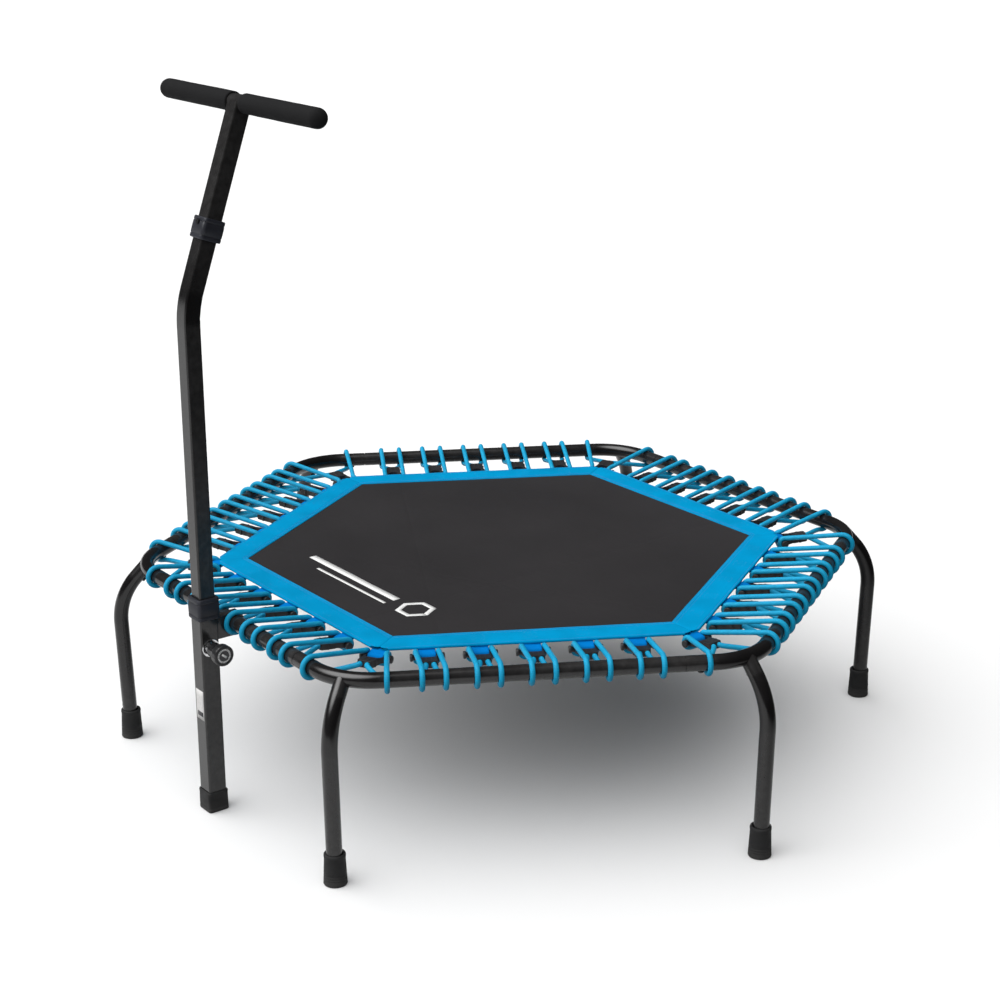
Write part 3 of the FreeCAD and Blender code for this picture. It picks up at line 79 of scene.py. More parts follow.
MM = 0.001
CORNERS = 6
HANDLE_SIDE = 4
HEXAGON_CENTRE = Vector((0, 11.861, 0))
RAIL_HEIGHT = 324.0
COS_30 = cos(radians(30))
RAIL_APOTHEM = 640.0 * COS_30
TUBE_RADIUS = 12.7

MAT_TOP = 325.0
MAT_THICKNESS = 1.6
MAT_EDGE = 410.0
MAT_RINGS = 46
BORDER_INNER = 389.0
BORDER_OUTER = 439.5
BORDER_TOP = 326.3
BORDER_BOTTOM = 321.9
CORNER_CUT = 498.0
STITCH_SPACING = 4.3

HOOK_DISTANCE = 450.5
HOOK_CORNER_DISTANCE = 509.0
HOOK_HEIGHT = 313.5
HOOK_TILT = 7.0
HOOK_PITCH = 83.4
HOOK_SHIFT = -9.0
HOOK_LENGTH = 44.0
HOOK_BAR_RADIUS = 4.5
CORD_HOLE_SPREAD = 6.4

CORD_RADIUS = 4.25
CORD_SPREAD = 18.1
CORD_CLEARANCE = 0.15
CORNER_YAW = 26.0

TAB_WIDTH = 27.0
TAB_THICKNESS = 1.2

FOOT_DISTANCE = 667.74
POST_Y = -601.0
MAST_BEND_HEIGHT = 846.0
MAST_BEND_ANGLE = radians(19.5)
MAST_JOINT = 123.0
BAR_HEIGHT = 1147.0
PIN_HEIGHT = 291.0
SPRING_START = 25.6
SPRING_LENGTH = 9.8
SPRING_RADIUS = 5.4
SPRING_WIRE = 0.5
SPRING_PITCH = 2.3

CAMERA_PLACE = (2682.7, -2039.7, 1551.3)
CAMERA_TARGET = (-211.6, 155.4, 324.0)
CAMERA_LENS = 72.67
CAMERA_ROLL = -0.2
SOFT_BOX_DIRECTION = (-0.14, -0.50, 0.85)
SOFT_BOX = 2.5
MIRRORED_BOX = 7.0
AMBIENT = 0.07

X_AXIS = Vector((1, 0, 0))
Z_AXIS = Vector((0, 0, 1))


# ---------------- mesh helpers

class Shell:
    """Points and faces being collected, with an optional three-number pattern value per point."""

    def __init__(self):
        self.points = []
        self.faces = []
        self.pattern = []

    def add(self, points, faces, place=None, pattern=None):
        first = len(self.points)
        place = place or Matrix.Identity(4)
        self.points += [place @ Vector(p) for p in points]
        self.faces += [[first + i for i in face] for face in faces]
        self.pattern += pattern or [(0.0, 0.0, 0.0)] * len(points)
        return self

    def add_shell(self, other, place=None):
        return self.add(other.points, other.faces, place, other.pattern)


def settled(point):
    """A point in the CAD model's frame, in metres."""
    return (Vector(point) + HEXAGON_CENTRE) * MM


def solid(name, shell, material, sharp=None):
    """A smooth mesh object; edges steeper than sharp degrees stay crisp. The slot is the material's name."""
    mesh = bpy.data.meshes.new(name)
    mesh.from_pydata([tuple(settled(p)) for p in shell.points], [], shell.faces)
    mesh.validate()
    attribute = mesh.attributes.new("pattern", "FLOAT_VECTOR", "POINT")
    for i, numbers in enumerate(shell.pattern):
        attribute.data[i].vector = numbers
    mesh.materials.append(MATERIALS[material])
    piece = bpy.data.objects.new(name, mesh)
    bpy.context.scene.collection.objects.link(piece)
    mesh.shade_smooth()
    if sharp:
        mesh.set_sharp_from_angle(angle=radians(sharp))
    return piece


def rings_to_faces(rings, size, closed=False):
    """Quads between rings of equal size, with end caps or joined last to first."""
    faces = []
    steps = rings if closed else rings - 1
    for r in range(steps):
        low, high = r * size, ((r + 1) % rings) * size
        for i in range(size):
            j = (i + 1) % size
            faces.append([low + i, low + j, high + j, high + i])
    if not closed:
        faces.append(list(range(size))[::-1])
        faces.append([(rings - 1) * size + i for i in range(size)])
    return faces


def circle(radius, count):
    """Points of a circle in its own XY plane."""
    turns = [2 * pi * i / count for i in range(count)]
    return [(radius * cos(t), radius * sin(t)) for t in turns]


def rounded_square(width, radius):
    """Anticlockwise outline of a square about the origin, with seven points round each corner."""
    inner = width / 2 - radius
    outline = []
    for k, (sx, sy) in enumerate([(1, 1), (-1, 1), (-1, -1), (1, -1)]):
        for share in linspace(0.0, 1.0, 7):
            angle = pi / 2 * (k + share)
            outline.append((sx * inner + radius * cos(angle), sy * inner + radius * sin(angle)))
    return outline


def sweep(path, outline):
    """A section carried along a path, turned as little as possible."""
    count = len(path)
    tangents = [(path[min(i + 1, count - 1)] - path[max(i - 1, 0)]).normalized() for i in range(count)]
    side = Z_AXIS.cross(tangents[0])
    if side.length < 1e-4:
        side = X_AXIS.cross(tangents[0])
    side.normalize()
    run = 0.0
    points, pattern = [], []
    for i, (centre, tangent) in enumerate(zip(path, tangents)):
        if i:
            run += (centre - path[i - 1]).length
            side = side - tangent * side.dot(tangent)
            side.normalize()
        other = tangent.cross(side)
        for x, y in outline:
            points.append(centre + side * x + other * y)
            reach = hypot(x, y) or 1.0
            pattern.append((x / reach, y / reach, run * MM))
    return Shell().add(points, rings_to_faces(count, len(outline)), pattern=pattern)


def lathe(profile, count, place=None, inset=None):
    """A closed half section of (along, radius) pairs turned about its own Z axis, less inset(z, r, angle)."""
    points = []
    for i in range(count):
        t = 2 * pi * i / count
        for z, r in profile:
            reach = r - inset(z, r, t) if inset else r
            points.append((reach * cos(t), reach * sin(t), z))
    size = len(profile)
    faces = []
    for i in range(count):
        here, there = i * size, ((i + 1) % count) * size
        for j in range(size - 1):
            faces.append([here + j, there + j, there + j + 1, here + j + 1])
    return Shell().add(points, faces, place)


def welded(piece):
    """Merges the points that a lathe leaves doubled on its axis."""
    piece.modifiers.new("weld", "WELD").merge_threshold = 0.01 * MM


def thickened(piece, thickness):
    """Gives an open sheet its thickness."""
    piece.modifiers.new("thickness", "SOLIDIFY").thickness = thickness * MM


def loft(sections, place=None, closed=False):
    """Rounded squares stacked along Z: each section is (height, width, corner radius)."""
    points = []
    for height, width, radius in sections:
        points += [(x, y, height) for x, y in rounded_square(width, radius)]
    size = len(points) // len(sections)
    return Shell().add(points, rings_to_faces(len(sections), size, closed), place)


def plate(rows, place=None):
    """A grid given as rows of points, as one open sheet."""
    columns = len(rows[0])
    points = [p for row in rows for p in row]
    faces = []
    for r in range(len(rows) - 1):
        for c in range(columns - 1):
            first = r * columns + c
            faces.append([first, first + 1, first + columns + 1, first + columns])
    return Shell().add(points, faces, place)


def bevelled(piece, width):
    """Rounds the sharp edges of a piece."""
    modifier = piece.modifiers.new("round", "BEVEL")
    modifier.width = width * MM
    modifier.segments = 2
    modifier.limit_method = "ANGLE"
    modifier.angle_limit = radians(35)
    modifier.harden_normals = False


def heading(degrees):
    """A level direction, turned from +X."""
    return Vector((cos(radians(degrees)), sin(radians(degrees)), 0))


def turned(degrees, axis="Z"):
    return Matrix.Rotation(radians(degrees), 4, axis)


def moved(x, y, z):
    return Matrix.Translation((x, y, z))


def smooth_step(t):
    t = max(0.0, min(1.0, t))
    return t * t * (3 - 2 * t)


def linspace(first, last, count):
    return [first + (last - first) * i / (count - 1) for i in range(count)]


# ---------------- material helpers

class Shader:
    """A node material with short calls for the nodes that the surfaces here share."""

    def __init__(self, name, colour, roughness, metallic=0.0, specular=0.5):
        self.material = bpy.data.materials.new(name)
        self.material.use_nodes = True
        self.tree = self.material.node_tree
        self.bsdf = self.tree.nodes["Principled BSDF"]
        self.put("Base Color", (*colour, 1.0))
        self.put("Roughness", roughness)
        self.put("Metallic", metallic)
        self.put("Specular IOR Level", specular)
        self.colour = (*colour, 1.0)

    def feed(self, socket, source):
        if isinstance(source, bpy.types.NodeSocket):
            self.tree.links.new(source, socket)
        else:
            socket.default_value = source

    def rough(self, source, low, high):
        """Roughness between low and high, following a cloudy source."""
        self.put("Roughness", self.remap(source, 0.3, 0.7, low, high))

    def put(self, name, source):
        """Sets or connects an input of the surface."""
        self.feed(self.bsdf.inputs[name], source)

    def node(self, kind, inputs=(), **settings):
        node = self.tree.nodes.new(kind)
        for key, setting in settings.items():
            setattr(node, key, setting)
        for key, source in dict(inputs).items():
            self.feed(node.inputs[key], source)
        return node

    def place(self, scale=(1, 1, 1)):
        """Position in the object's own metres, stretched by scale."""
        coordinates = self.node("ShaderNodeTexCoord").outputs["Object"]
        return self.node("ShaderNodeMapping", {"Vector": coordinates, "Scale": scale}).outputs[0]

    def split(self, vector):
        return self.node("ShaderNodeSeparateXYZ", {0: vector}).outputs

    def math(self, operation, first, second=0.0):
        return self.node("ShaderNodeMath", {0: first, 1: second}, operation=operation).outputs[0]

    def pattern(self):
        """The three pattern numbers that sweep() and the border keep on each point."""
        return self.split(self.node("ShaderNodeAttribute", attribute_name="pattern").outputs["Vector"])

    def times(self, first, second):
        return self.math("MULTIPLY", first, second)

    def noise(self, scale, detail=3.0, stretch=(1, 1, 1)):
        inputs = {"Vector": self.place(stretch), "Scale": scale, "Detail": detail}
        return self.node("ShaderNodeTexNoise", inputs).outputs["Fac"]

    def cells(self, scale):
        inputs = {"Vector": self.place(), "Scale": scale}
        return self.node("ShaderNodeTexVoronoi", inputs).outputs["Distance"]

    def remap(self, source, low, high, to_low, to_high):
        inputs = {"Value": source, "From Min": low, "From Max": high, "To Min": to_low, "To Max": to_high}
        return self.node("ShaderNodeMapRange", inputs).outputs[0]

    def mix(self, amount, first, second):
        node = self.node("ShaderNodeMix", data_type="RGBA")
        for socket, source in zip((node.inputs[0], node.inputs[6], node.inputs[7]), (amount, first, second)):
            self.feed(socket, source)
        return node.outputs[2]

    def choose(self, amount, first, second):
        """A number between first and second."""
        return self.node("ShaderNodeMix", {0: amount, 2: first, 3: second}, data_type="FLOAT").outputs[0]

    def tint(self, factor):
        """The base colour made lighter or darker."""
        return tuple(min(1.0, channel * factor) for channel in self.colour[:3]) + (1.0,)

    def upward(self):
        """How far the surface faces up, 0 to 1."""
        normal = self.node("ShaderNodeNewGeometry").outputs["Normal"]
        return self.math("MAXIMUM", self.split(normal)[2], 0.0)

    def edges(self, low, high):
        """1 on convex edges, 0 on flats."""
        pointiness = self.node("ShaderNodeNewGeometry").outputs["Pointiness"]
        return self.remap(pointiness, low, high, 0.0, 1.0)

    def weave(self, across, along):
        """Plain weave: thread height, and which of the two threads is on top. Inputs count threads."""
        checker = self.math("MODULO", self.math(
            "ABSOLUTE", self.math("ADD", self.math("FLOOR", across), self.math("FLOOR", along))), 2.0)
        ridges = []
        for count in (across, along):
            phase = self.math("MULTIPLY", self.math("FRACT", count), pi)
            ridges.append(self.math("SINE", phase))
        return self.choose(checker, ridges[0], ridges[1]), checker

    def relief(self, height, depth, strength=1.0, before=None):
        """A bump of depth millimetres, added to an earlier one."""
        inputs = {"Height": height, "Strength": strength, "Distance": depth * MM}
        if before:
            inputs["Normal"] = before
        return self.node("ShaderNodeBump", inputs).outputs[0]


def powder_coat(name, colour=(0.0050, 0.0045, 0.0048)):
    """Gloss black powder coat: faint orange peel, rubbed edges, dust on what faces up."""
    paint = Shader(name, colour, 0.20, specular=0.45)
    peel = paint.noise(620, 2)
    cloud = paint.noise(14, 4)
    rubbed = paint.times(paint.edges(0.515, 0.60), paint.noise(90, 3))
    dust = paint.times(paint.upward(), paint.remap(cloud, 0.35, 0.75, 0.0, 0.05))
    varied = paint.mix(cloud, paint.tint(0.8), paint.tint(1.35))
    dusty = paint.mix(dust, varied, (0.16, 0.155, 0.15, 1))
    paint.put("Base Color", paint.mix(paint.times(rubbed, 0.5), dusty, (0.075, 0.073, 0.072, 1)))
    paint.rough(cloud, 0.15, 0.24)
    paint.put("Normal", paint.relief(peel, 0.05, 0.45))
    return paint.material


def moulded(name, colour, gloss, grain=1500):
    """Moulded black plastic: fine spark-eroded grain, paler worn edges."""
    plastic = Shader(name, colour, gloss, specular=0.38)
    cloud = plastic.noise(35, 4)
    worn = plastic.times(plastic.edges(0.52, 0.62), 0.45)
    varied = plastic.mix(cloud, plastic.tint(0.75), plastic.tint(1.5))
    plastic.put("Base Color", plastic.mix(worn, varied, plastic.tint(4.5)))
    plastic.rough(cloud, gloss - 0.07, gloss + 0.1)
    plastic.put("Normal", plastic.relief(plastic.noise(grain, 2), 0.06, 0.5))
    return plastic.material


def rubber(name):
    """Matt rubber with a bloom of dust towards the floor and scuffed edges."""
    surface = Shader(name, (0.0115, 0.0115, 0.012), 0.72, specular=0.3)
    height = surface.split(surface.place())[2]
    grey = surface.noise(60, 5)
    low = surface.times(surface.remap(height, 0.022, 0.0, 0.0, 0.42), grey)
    scuffed = surface.times(surface.edges(0.51, 0.6), 0.3)
    varied = surface.mix(grey, surface.tint(0.7), surface.tint(1.6))
    dusty = surface.mix(low, varied, (0.13, 0.125, 0.12, 1))
    surface.put("Base Color", surface.mix(scuffed, dusty, (0.06, 0.06, 0.06, 1)))
    surface.rough(grey, 0.62, 0.82)
    surface.put("Normal", surface.relief(surface.noise(900, 3), 0.10, 0.6))
    return surface.material


def foam(name):
    """Closed-cell foam: fine pores with painted shade in their bottoms, and a soft bloom."""
    surface = Shader(name, (0.0105, 0.0105, 0.0112), 0.88, specular=0.14)
    pores_and_painted_shade = surface.remap(surface.cells(1150), 0.1, 0.55, 0.0, 1.0)
    cloud = surface.noise(28, 4)
    skin = surface.mix(cloud, surface.tint(0.8), surface.tint(1.45))
    # painted shade: the pore bottoms are coloured darker than the foam's skin; the same mask also gives the
    # pores' bump
    surface.put("Base Color", surface.mix(pores_and_painted_shade, surface.tint(0.45), skin))
    surface.rough(cloud, 0.8, 0.95)
    surface.put("Normal", surface.relief(pores_and_painted_shade, 0.16, 0.6, surface.relief(cloud, 0.5, 0.3)))
    return surface.material


def steel(name, colour, roughness):
    """Bare or plated steel with fine drawn lines and a few darker stains."""
    metal = Shader(name, colour, roughness, metallic=1.0)
    lines = metal.noise(220, 4, (1, 1, 14))
    stain = metal.noise(45, 5)
    stained = metal.remap(stain, 0.45, 0.7, 0.0, 0.5)
    metal.put("Base Color", metal.mix(stained, metal.tint(1.0), metal.tint(0.5)))
    metal.rough(lines, roughness * 0.75, roughness * 1.4)
    metal.put("Normal", metal.relief(lines, 0.02, 0.5))
    return metal.material


def bed_weave(name):
    """Tightly woven black mat: plain weave, slight streaks along the yarn, faint fold lines."""
    cloth = Shader(name, (0.0275, 0.0258, 0.0272), 0.62, specular=0.10)
    x, y, _ = cloth.split(cloth.place())
    threads = 1 / 0.0013
    height, top = cloth.weave(cloth.times(x, threads), cloth.times(y, threads))
    streaks = cloth.noise(30, 4, (1, 22, 1))
    cloud = cloth.noise(3.2, 4)
    yarn = cloth.mix(top, cloth.tint(0.86), cloth.tint(1.12))
    worn = cloth.mix(cloth.remap(cloud, 0.35, 0.7, 0.0, 0.5), yarn, cloth.tint(1.35))
    cloth.put("Base Color", cloth.mix(cloth.remap(streaks, 0.4, 0.7, 0.0, 0.35), worn, cloth.tint(0.75)))
    cloth.rough(cloud, 0.52, 0.68)
    folds = []
    for turn, offset in ((0.0, 0.135), (radians(60), -0.14), (radians(-62), 0.16)):
        along = cloth.math("ADD", cloth.times(x, cos(turn)),
                           cloth.times(y, sin(turn)))
        off = cloth.math("ABSOLUTE", cloth.math("SUBTRACT", along, offset))
        folds.append(cloth.remap(off, 0.0, 0.007, 0.0, 1.0))
    fold = cloth.times(cloth.times(folds[0], folds[1]), folds[2])
    ripples = cloth.noise(11, 3, (1, 0.45, 1))
    normal = cloth.relief(ripples, 2.2, 0.22, cloth.relief(fold, 0.7, 0.35))
    cloth.put("Normal", cloth.relief(height, 0.13, 0.35, normal))
    return cloth.material


def webbing(name, colour, pitch):
    """Blue woven binding: ribbed weave, cloudy dye, light catching on the ribs."""
    cloth = Shader(name, colour, 0.66, specular=0.02)
    u, v, _ = cloth.pattern()
    height, top = cloth.weave(cloth.times(u, 1 / pitch), cloth.times(v, 2 / pitch))
    cloud = cloth.noise(18, 5)
    fine = cloth.noise(420, 2)
    yarn = cloth.mix(top, cloth.tint(0.88), cloth.tint(1.10))
    dyed = cloth.mix(cloth.remap(cloud, 0.3, 0.72, 0.0, 1.0), yarn, cloth.tint(1.22))
    cloth.put("Base Color", cloth.mix(cloth.remap(fine, 0.4, 0.75, 0.0, 0.3), dyed, cloth.tint(0.7)))
    cloth.rough(cloud, 0.56, 0.74)
    cloth.put("Normal", cloth.relief(height, 0.16, 0.5, cloth.relief(cloud, 0.9, 0.25)))
    return cloth.material


def thread(name, colour):
    """Twisted sewing thread."""
    yarn = Shader(name, colour, 0.5, specular=0.35)
    twist = yarn.noise(1800, 2)
    yarn.put("Base Color", yarn.mix(twist, yarn.tint(0.7), yarn.tint(1.3)))
    yarn.put("Normal", yarn.relief(twist, 0.08, 0.6))
    yarn.put("Sheen Weight", 0.3)
    return yarn.material


def braided(name):
    """Braided sheath of a bungee cord: crossing yarns, painted shade in the gaps between them, tracer yarns a
    little paler.
    """
    cord = Shader(name, (0.0, 0.34, 0.60), 0.5, specular=0.3)
    turn_x, turn_y, run = cord.pattern()
    turn = cord.times(cord.math("ARCTAN2", turn_y, turn_x), 8 / pi)
    along = cord.times(run, 1 / 0.0021)
    left = cord.math("ADD", cord.math("ADD", along, turn), 64.0)
    right = cord.math("ADD", cord.math("SUBTRACT", along, turn), 64.0)
    height, top = cord.weave(left, right)
    tracer = cord.math("COMPARE", cord.math("MODULO", cord.math("FLOOR", left), 8.0), 1.0)
    cloud = cord.noise(60, 4)
    yarn = cord.mix(top, cord.tint(0.9), cord.tint(1.12))
    traced = cord.mix(cord.times(tracer, 0.35), yarn, (0.01, 0.50, 0.72, 1))
    # painted shade: the colour darkens where the weave is low, in the gaps between the yarns
    painted_gap_shade = cord.remap(height, 0.0, 0.45, 0.62, 0.0)
    shaded = cord.mix(painted_gap_shade, traced, cord.tint(0.38))
    cord.put("Base Color", cord.mix(cord.remap(cloud, 0.4, 0.75, 0.0, 0.35), shaded, cord.tint(1.3)))
    cord.rough(cloud, 0.42, 0.58)
    cord.put("Normal", cord.relief(height, 0.28, 0.7))
    return cord.material


def printed(name, colour):
    """Screen print on a surface: slightly broken, so a little of the ground shows."""
    ink = Shader(name, colour, 0.55)
    grain = ink.noise(700, 3)
    ink.put("Base Color", ink.mix(ink.remap(grain, 0.52, 0.75, 0.0, 0.55), ink.colour, ink.tint(0.45)))
    ink.rough(grain, 0.45, 0.65)
    ink.put("Normal", ink.relief(grain, 0.05, 0.5))
    return ink.material


def studio_floor(name):
    """Pale floor. Little of its light falls on the object; glossy paint mirrors it on the -X -Y side only."""
    surface = Shader(name, (0.86, 0.86, 0.86), 0.85, specular=0.0)
    path = surface.node("ShaderNodeLightPath").outputs
    x, y, _ = surface.split(surface.place())
    mirrored = surface.remap(surface.math("ADD", x, y), 0.4, 2.2, 0.0, 1.0)
    mirrored = surface.mix(mirrored, (0.85, 0.85, 0.85, 1), (0.03, 0.03, 0.03, 1))
    pale = surface.mix(surface.noise(1.6, 3), (0.85, 0.85, 0.85, 1), (0.87, 0.87, 0.87, 1))
    lit = surface.mix(path["Is Glossy Ray"], (0.20, 0.20, 0.20, 1), mirrored)
    surface.put("Base Color", surface.mix(path["Is Camera Ray"], lit, pale))
    surface.put("Normal", surface.relief(surface.noise(300, 2), 0.05, 0.2))
    return surface.material


BLACK_PLASTIC = (0.0125, 0.0125, 0.0135)
SURFACES = {
    "frame_paint": (powder_coat,),
    "leg_paint": (powder_coat,),
    # post_paint is a lighter and mast_paint a darker copy of the frame's gloss black: painted light on the
    # post, painted shade on the mast
    "post_paint": (powder_coat, (0.0058, 0.0054, 0.0057)),
    "mast_paint": (powder_coat, (0.0046, 0.0043, 0.0046)),
    "plain_steel": (steel, (0.05, 0.049, 0.047), 0.5),
    "plated_steel": (steel, (0.72, 0.72, 0.73), 0.16),
    "black_screws": (steel, (0.05, 0.05, 0.052), 0.4),
    "foot_rubber": (rubber,),
    "bed_weave": (bed_weave,),
    "border_webbing": (webbing, (0.0, 0.245, 0.485), 0.0016),
    "tab_webbing": (webbing, (0.0, 0.165, 0.50), 0.0019),
    "border_thread": (thread, (0.0, 0.20, 0.56)),
    "hook_plastic": (moulded, BLACK_PLASTIC, 0.46),
    "collar_plastic": (moulded, (0.0105, 0.0115, 0.0165), 0.52),
    "guide_plastic": (moulded, BLACK_PLASTIC, 0.55),
    "knob_plastic": (moulded, BLACK_PLASTIC, 0.3, 800),
    "disc_plastic": (moulded, (0.02, 0.02, 0.022), 0.4),
    "cord_braid": (braided,),
    "grip_foam": (foam,),
    "white_print": (printed, (0.80, 0.80, 0.79)),
    "label_paper": (printed, (0.72, 0.71, 0.70)),
    "studio_floor": (studio_floor,),
}
MATERIALS = {name: make(name, *settings) for name, (make, *settings) in SURFACES.items()}


# ---------------- places

def tab_places(side):
    """Positions along a side of its hooks and tabs."""
    shift = 0.0 if side == HANDLE_SIDE else HOOK_SHIFT
    return [shift + step * HOOK_PITCH for step in (-2, -1, 0, 1, 2)]


def hook_frames(side):
    """Hook frames of one side of the hexagon."""
    return [turned(30 + 60 * side) @ moved(HOOK_DISTANCE, along, 0)
            for along in tab_places(side)]


def corner_frame(index):
    return turned(60 * index) @ moved(HOOK_CORNER_DISTANCE, 0, 0)


def side_frames():
    return [place for side in range(CORNERS) for place in hook_frames(side)]


def corner_frames():
    return [corner_frame(index) for index in range(CORNERS)]


def tilted(place):
    """A hook's own frame: at cross bar height, outer end raised."""
    lift = moved(0, 0, HOOK_HEIGHT)
    return place @ lift @ turned(-HOOK_TILT, "Y")


def lean_frame(distance):
    """Frame on the leaning part of the mast, with Z along it."""
    bend = moved(0, POST_Y, MAST_BEND_HEIGHT)
    return bend @ Matrix.Rotation(-MAST_BEND_ANGLE, 4, "X") @ moved(0, 0, distance)


def bar_frame():
    """Frame at the middle of the T-bar with Z along +X."""
    lean = (BAR_HEIGHT - MAST_BEND_HEIGHT) / cos(MAST_BEND_ANGLE)
    centre = lean_frame(lean).to_translation()
    return Matrix.Translation(centre) @ turned(90, "Y")


def pin_frame():
    """Frame on the pull pin's axis with Z along +X."""
    return moved(0, POST_Y, PIN_HEIGHT) @ turned(90, "Y")


# ---------------- bed

def mat_height(x, y):
    """Top of the woven mat: a slight sag with shallow ripples."""
    radius = hypot(x, y) / MAT_EDGE
    sag = -1.3 * max(0.0, 1 - radius * radius)
    calm = smooth_step((1 - radius) * 4)
    ripple = noise.noise(Vector((x / 95, y / 60, 3.1))) * 0.45
    return MAT_TOP + sag + ripple * calm


def jump_mat():
    """The mat: a hexagon of small triangles, top and underside."""
    corners = [heading(60 * k) for k in range(CORNERS)]
    reach = MAT_EDGE / COS_30
    rings = [[Vector((0, 0, 0))]]
    for ring in range(1, MAT_RINGS + 1):
        row = []
        for k in range(CORNERS):
            for j in range(ring):
                row.append(corners[k].lerp(corners[(k + 1) % 6], j / ring) * reach * ring / MAT_RINGS)
        rings.append(row)
    starts = [0]
    for row in rings:
        starts.append(starts[-1] + len(row))
    flat = [p for row in rings for p in row]
    faces = []
    for ring in range(1, MAT_RINGS + 1):
        outer, inner = starts[ring], starts[ring - 1]
        for k in range(CORNERS):
            for j in range(ring):
                a = outer + k * ring + j
                b = outer + (k * ring + j + 1) % (6 * ring)
                c = inner + (k * (ring - 1) + j) % max(1, 6 * (ring - 1))
                faces.append([a, b, c])
                if j < ring - 1:
                    d = inner + (k * (ring - 1) + j + 1) % (6 * (ring - 1))
                    faces.append([c, b, d])
    top = [(p.x, p.y, mat_height(p.x, p.y)) for p in flat]
    below = [(x, y, z - MAT_THICKNESS) for x, y, z in top]
    count = len(flat)
    edge = list(range(starts[MAT_RINGS], starts[MAT_RINGS + 1]))
    walls = [[a, a + count, b + count, b] for a, b in zip(edge, edge[1:] + edge[:1])]
    under = [[i + count for i in face][::-1] for face in faces]
    shell = Shell().add(top + below, faces + under + walls)
    piece = solid("woven_mat", shell, "bed_weave", sharp=50)
    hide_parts("jump_mat")
    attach(piece, "mat")


def border_section():
    """Half width positions and heights of the folded binding: top face, fold, underside."""
    top, low = BORDER_TOP, BORDER_BOTTOM
    mid = (top + low) / 2
    section = [(BORDER_INNER, mid + 1.1), (BORDER_INNER + 0.15, top - 0.5), (BORDER_INNER + 0.6, top - 0.08)]
    dips = ((1.4, 0.0), (2.6, 0.12), (3.4, 0.42), (4.2, 0.12), (5.6, 0.0), (7.2, 0.05), (8.0, 0.34),
            (8.8, 0.05), (11.0, -0.08), (18.0, -0.18), (25.0, -0.2), (32.0, -0.18), (39.0, -0.1),
            (44.0, 0.0), (45.8, 0.08), (46.6, 0.40), (47.4, 0.08), (48.8, 0.0))
    section += [(BORDER_INNER + offset, top - dip) for offset, dip in dips]
    section += [(BORDER_OUTER - 0.8, top - 0.15), (BORDER_OUTER - 0.2, top - 0.75), (BORDER_OUTER, mid),
                (BORDER_OUTER - 0.2, low + 0.75), (BORDER_OUTER - 0.8, low + 0.15)]
    section += [(BORDER_INNER + offset, low) for offset in (44.0, 30.0, 16.0, 4.0, 0.6)]
    section += [(BORDER_INNER + 0.15, low + 0.5), (BORDER_INNER, mid - 1.1)]
    return section


def border_reach(apothem):
    """Half length of the border at a distance from the centre: up to the mitre or the cut corner."""
    cut = (CORNER_CUT - apothem * COS_30) * 2
    return min(apothem * tan(radians(30)), cut)


def border_lift(side, apothem, along):
    """Small puckers of the binding between its seams."""
    pucker = noise.noise(Vector((along / 7.0, apothem / 30.0, side * 9.7))) * 0.10
    wave = noise.noise(Vector((along / 46.0, apothem / 22.0, side * 5.3 + 2))) * 0.28
    return pucker + wave


def border_panel(side):
    """One mitred side of the binding as a closed solid."""
    section = border_section()
    seam = ((0.0, 1.0), (0.45, 0.72), (1.1, 0.2), (2.4, 0.0))
    inside = linspace(-1.0, 1.0, 64)
    stations = [("end", -1, gap, dip) for gap, dip in seam]
    stations += [("mid", t, 0, 0) for t in inside[1:-1]]
    stations += [("end", 1, gap, dip) for gap, dip in reversed(seam)]
    pulls = tab_places(side)
    points, pattern = [], []
    for kind, t, gap, dip in stations:
        for apothem, height in section:
            reach = border_reach(apothem)
            along = t * (reach - gap) if kind == "end" else t * (reach - seam[-1][0])
            top = smooth_step((height - BORDER_BOTTOM - 1.5) / 2.0)
            dip_here = dip if apothem < 431.0 else dip * 0.35
            pull = max(exp(-((along - place) / 15.0) ** 2) for place in pulls)
            out = 0.9 * pull * smooth_step((apothem - BORDER_OUTER + 12) / 12)
            z = height + top * (border_lift(side, apothem, along) - dip_here)
            points.append((apothem + out - 0.3, along, z))
            pattern.append((along * MM, apothem * MM, 0.0))
    faces = rings_to_faces(len(stations), len(section))
    return Shell().add(points, faces, turned(30 + 60 * side), pattern)


def border_surface(side, apothem, along):
    """Height of the binding's top face, for whatever is sewn on it."""
    return BORDER_TOP + border_lift(side, apothem, along)


def mat_border():
    shell = Shell()
    for side in range(CORNERS):
        shell.add_shell(border_panel(side))
    piece = solid("border_binding", shell, "border_webbing", sharp=60)
    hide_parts("mat_border")
    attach(piece, "mat")


def stitch_run(shell, side, start, end):
    """A row of single stitches between two (apothem, along) points on a side's binding."""
    length = dist(start, end)
    count = max(1, int(length / STITCH_SPACING))
    heading = atan2(end[1] - start[1], end[0] - start[0])
    outline = circle(0.30, 6)
    for i in range(count):
        t = (i + 0.5) / count
        apothem = start[0] + (end[0] - start[0]) * t
        along = start[1] + (end[1] - start[1]) * t
        z = border_surface(side, apothem, along)
        reach = STITCH_SPACING * 0.37
        dx, dy = cos(heading) * reach, sin(heading) * reach
        path = [Vector((apothem + dx * share, along + dy * share, z - drop))
                for share, drop in ((-1, 0.50), (-0.7, 0.12), (0, 0.02), (0.7, 0.12), (1, 0.50))]
        shell.add_shell(sweep(path, outline), turned(30 + 60 * side))


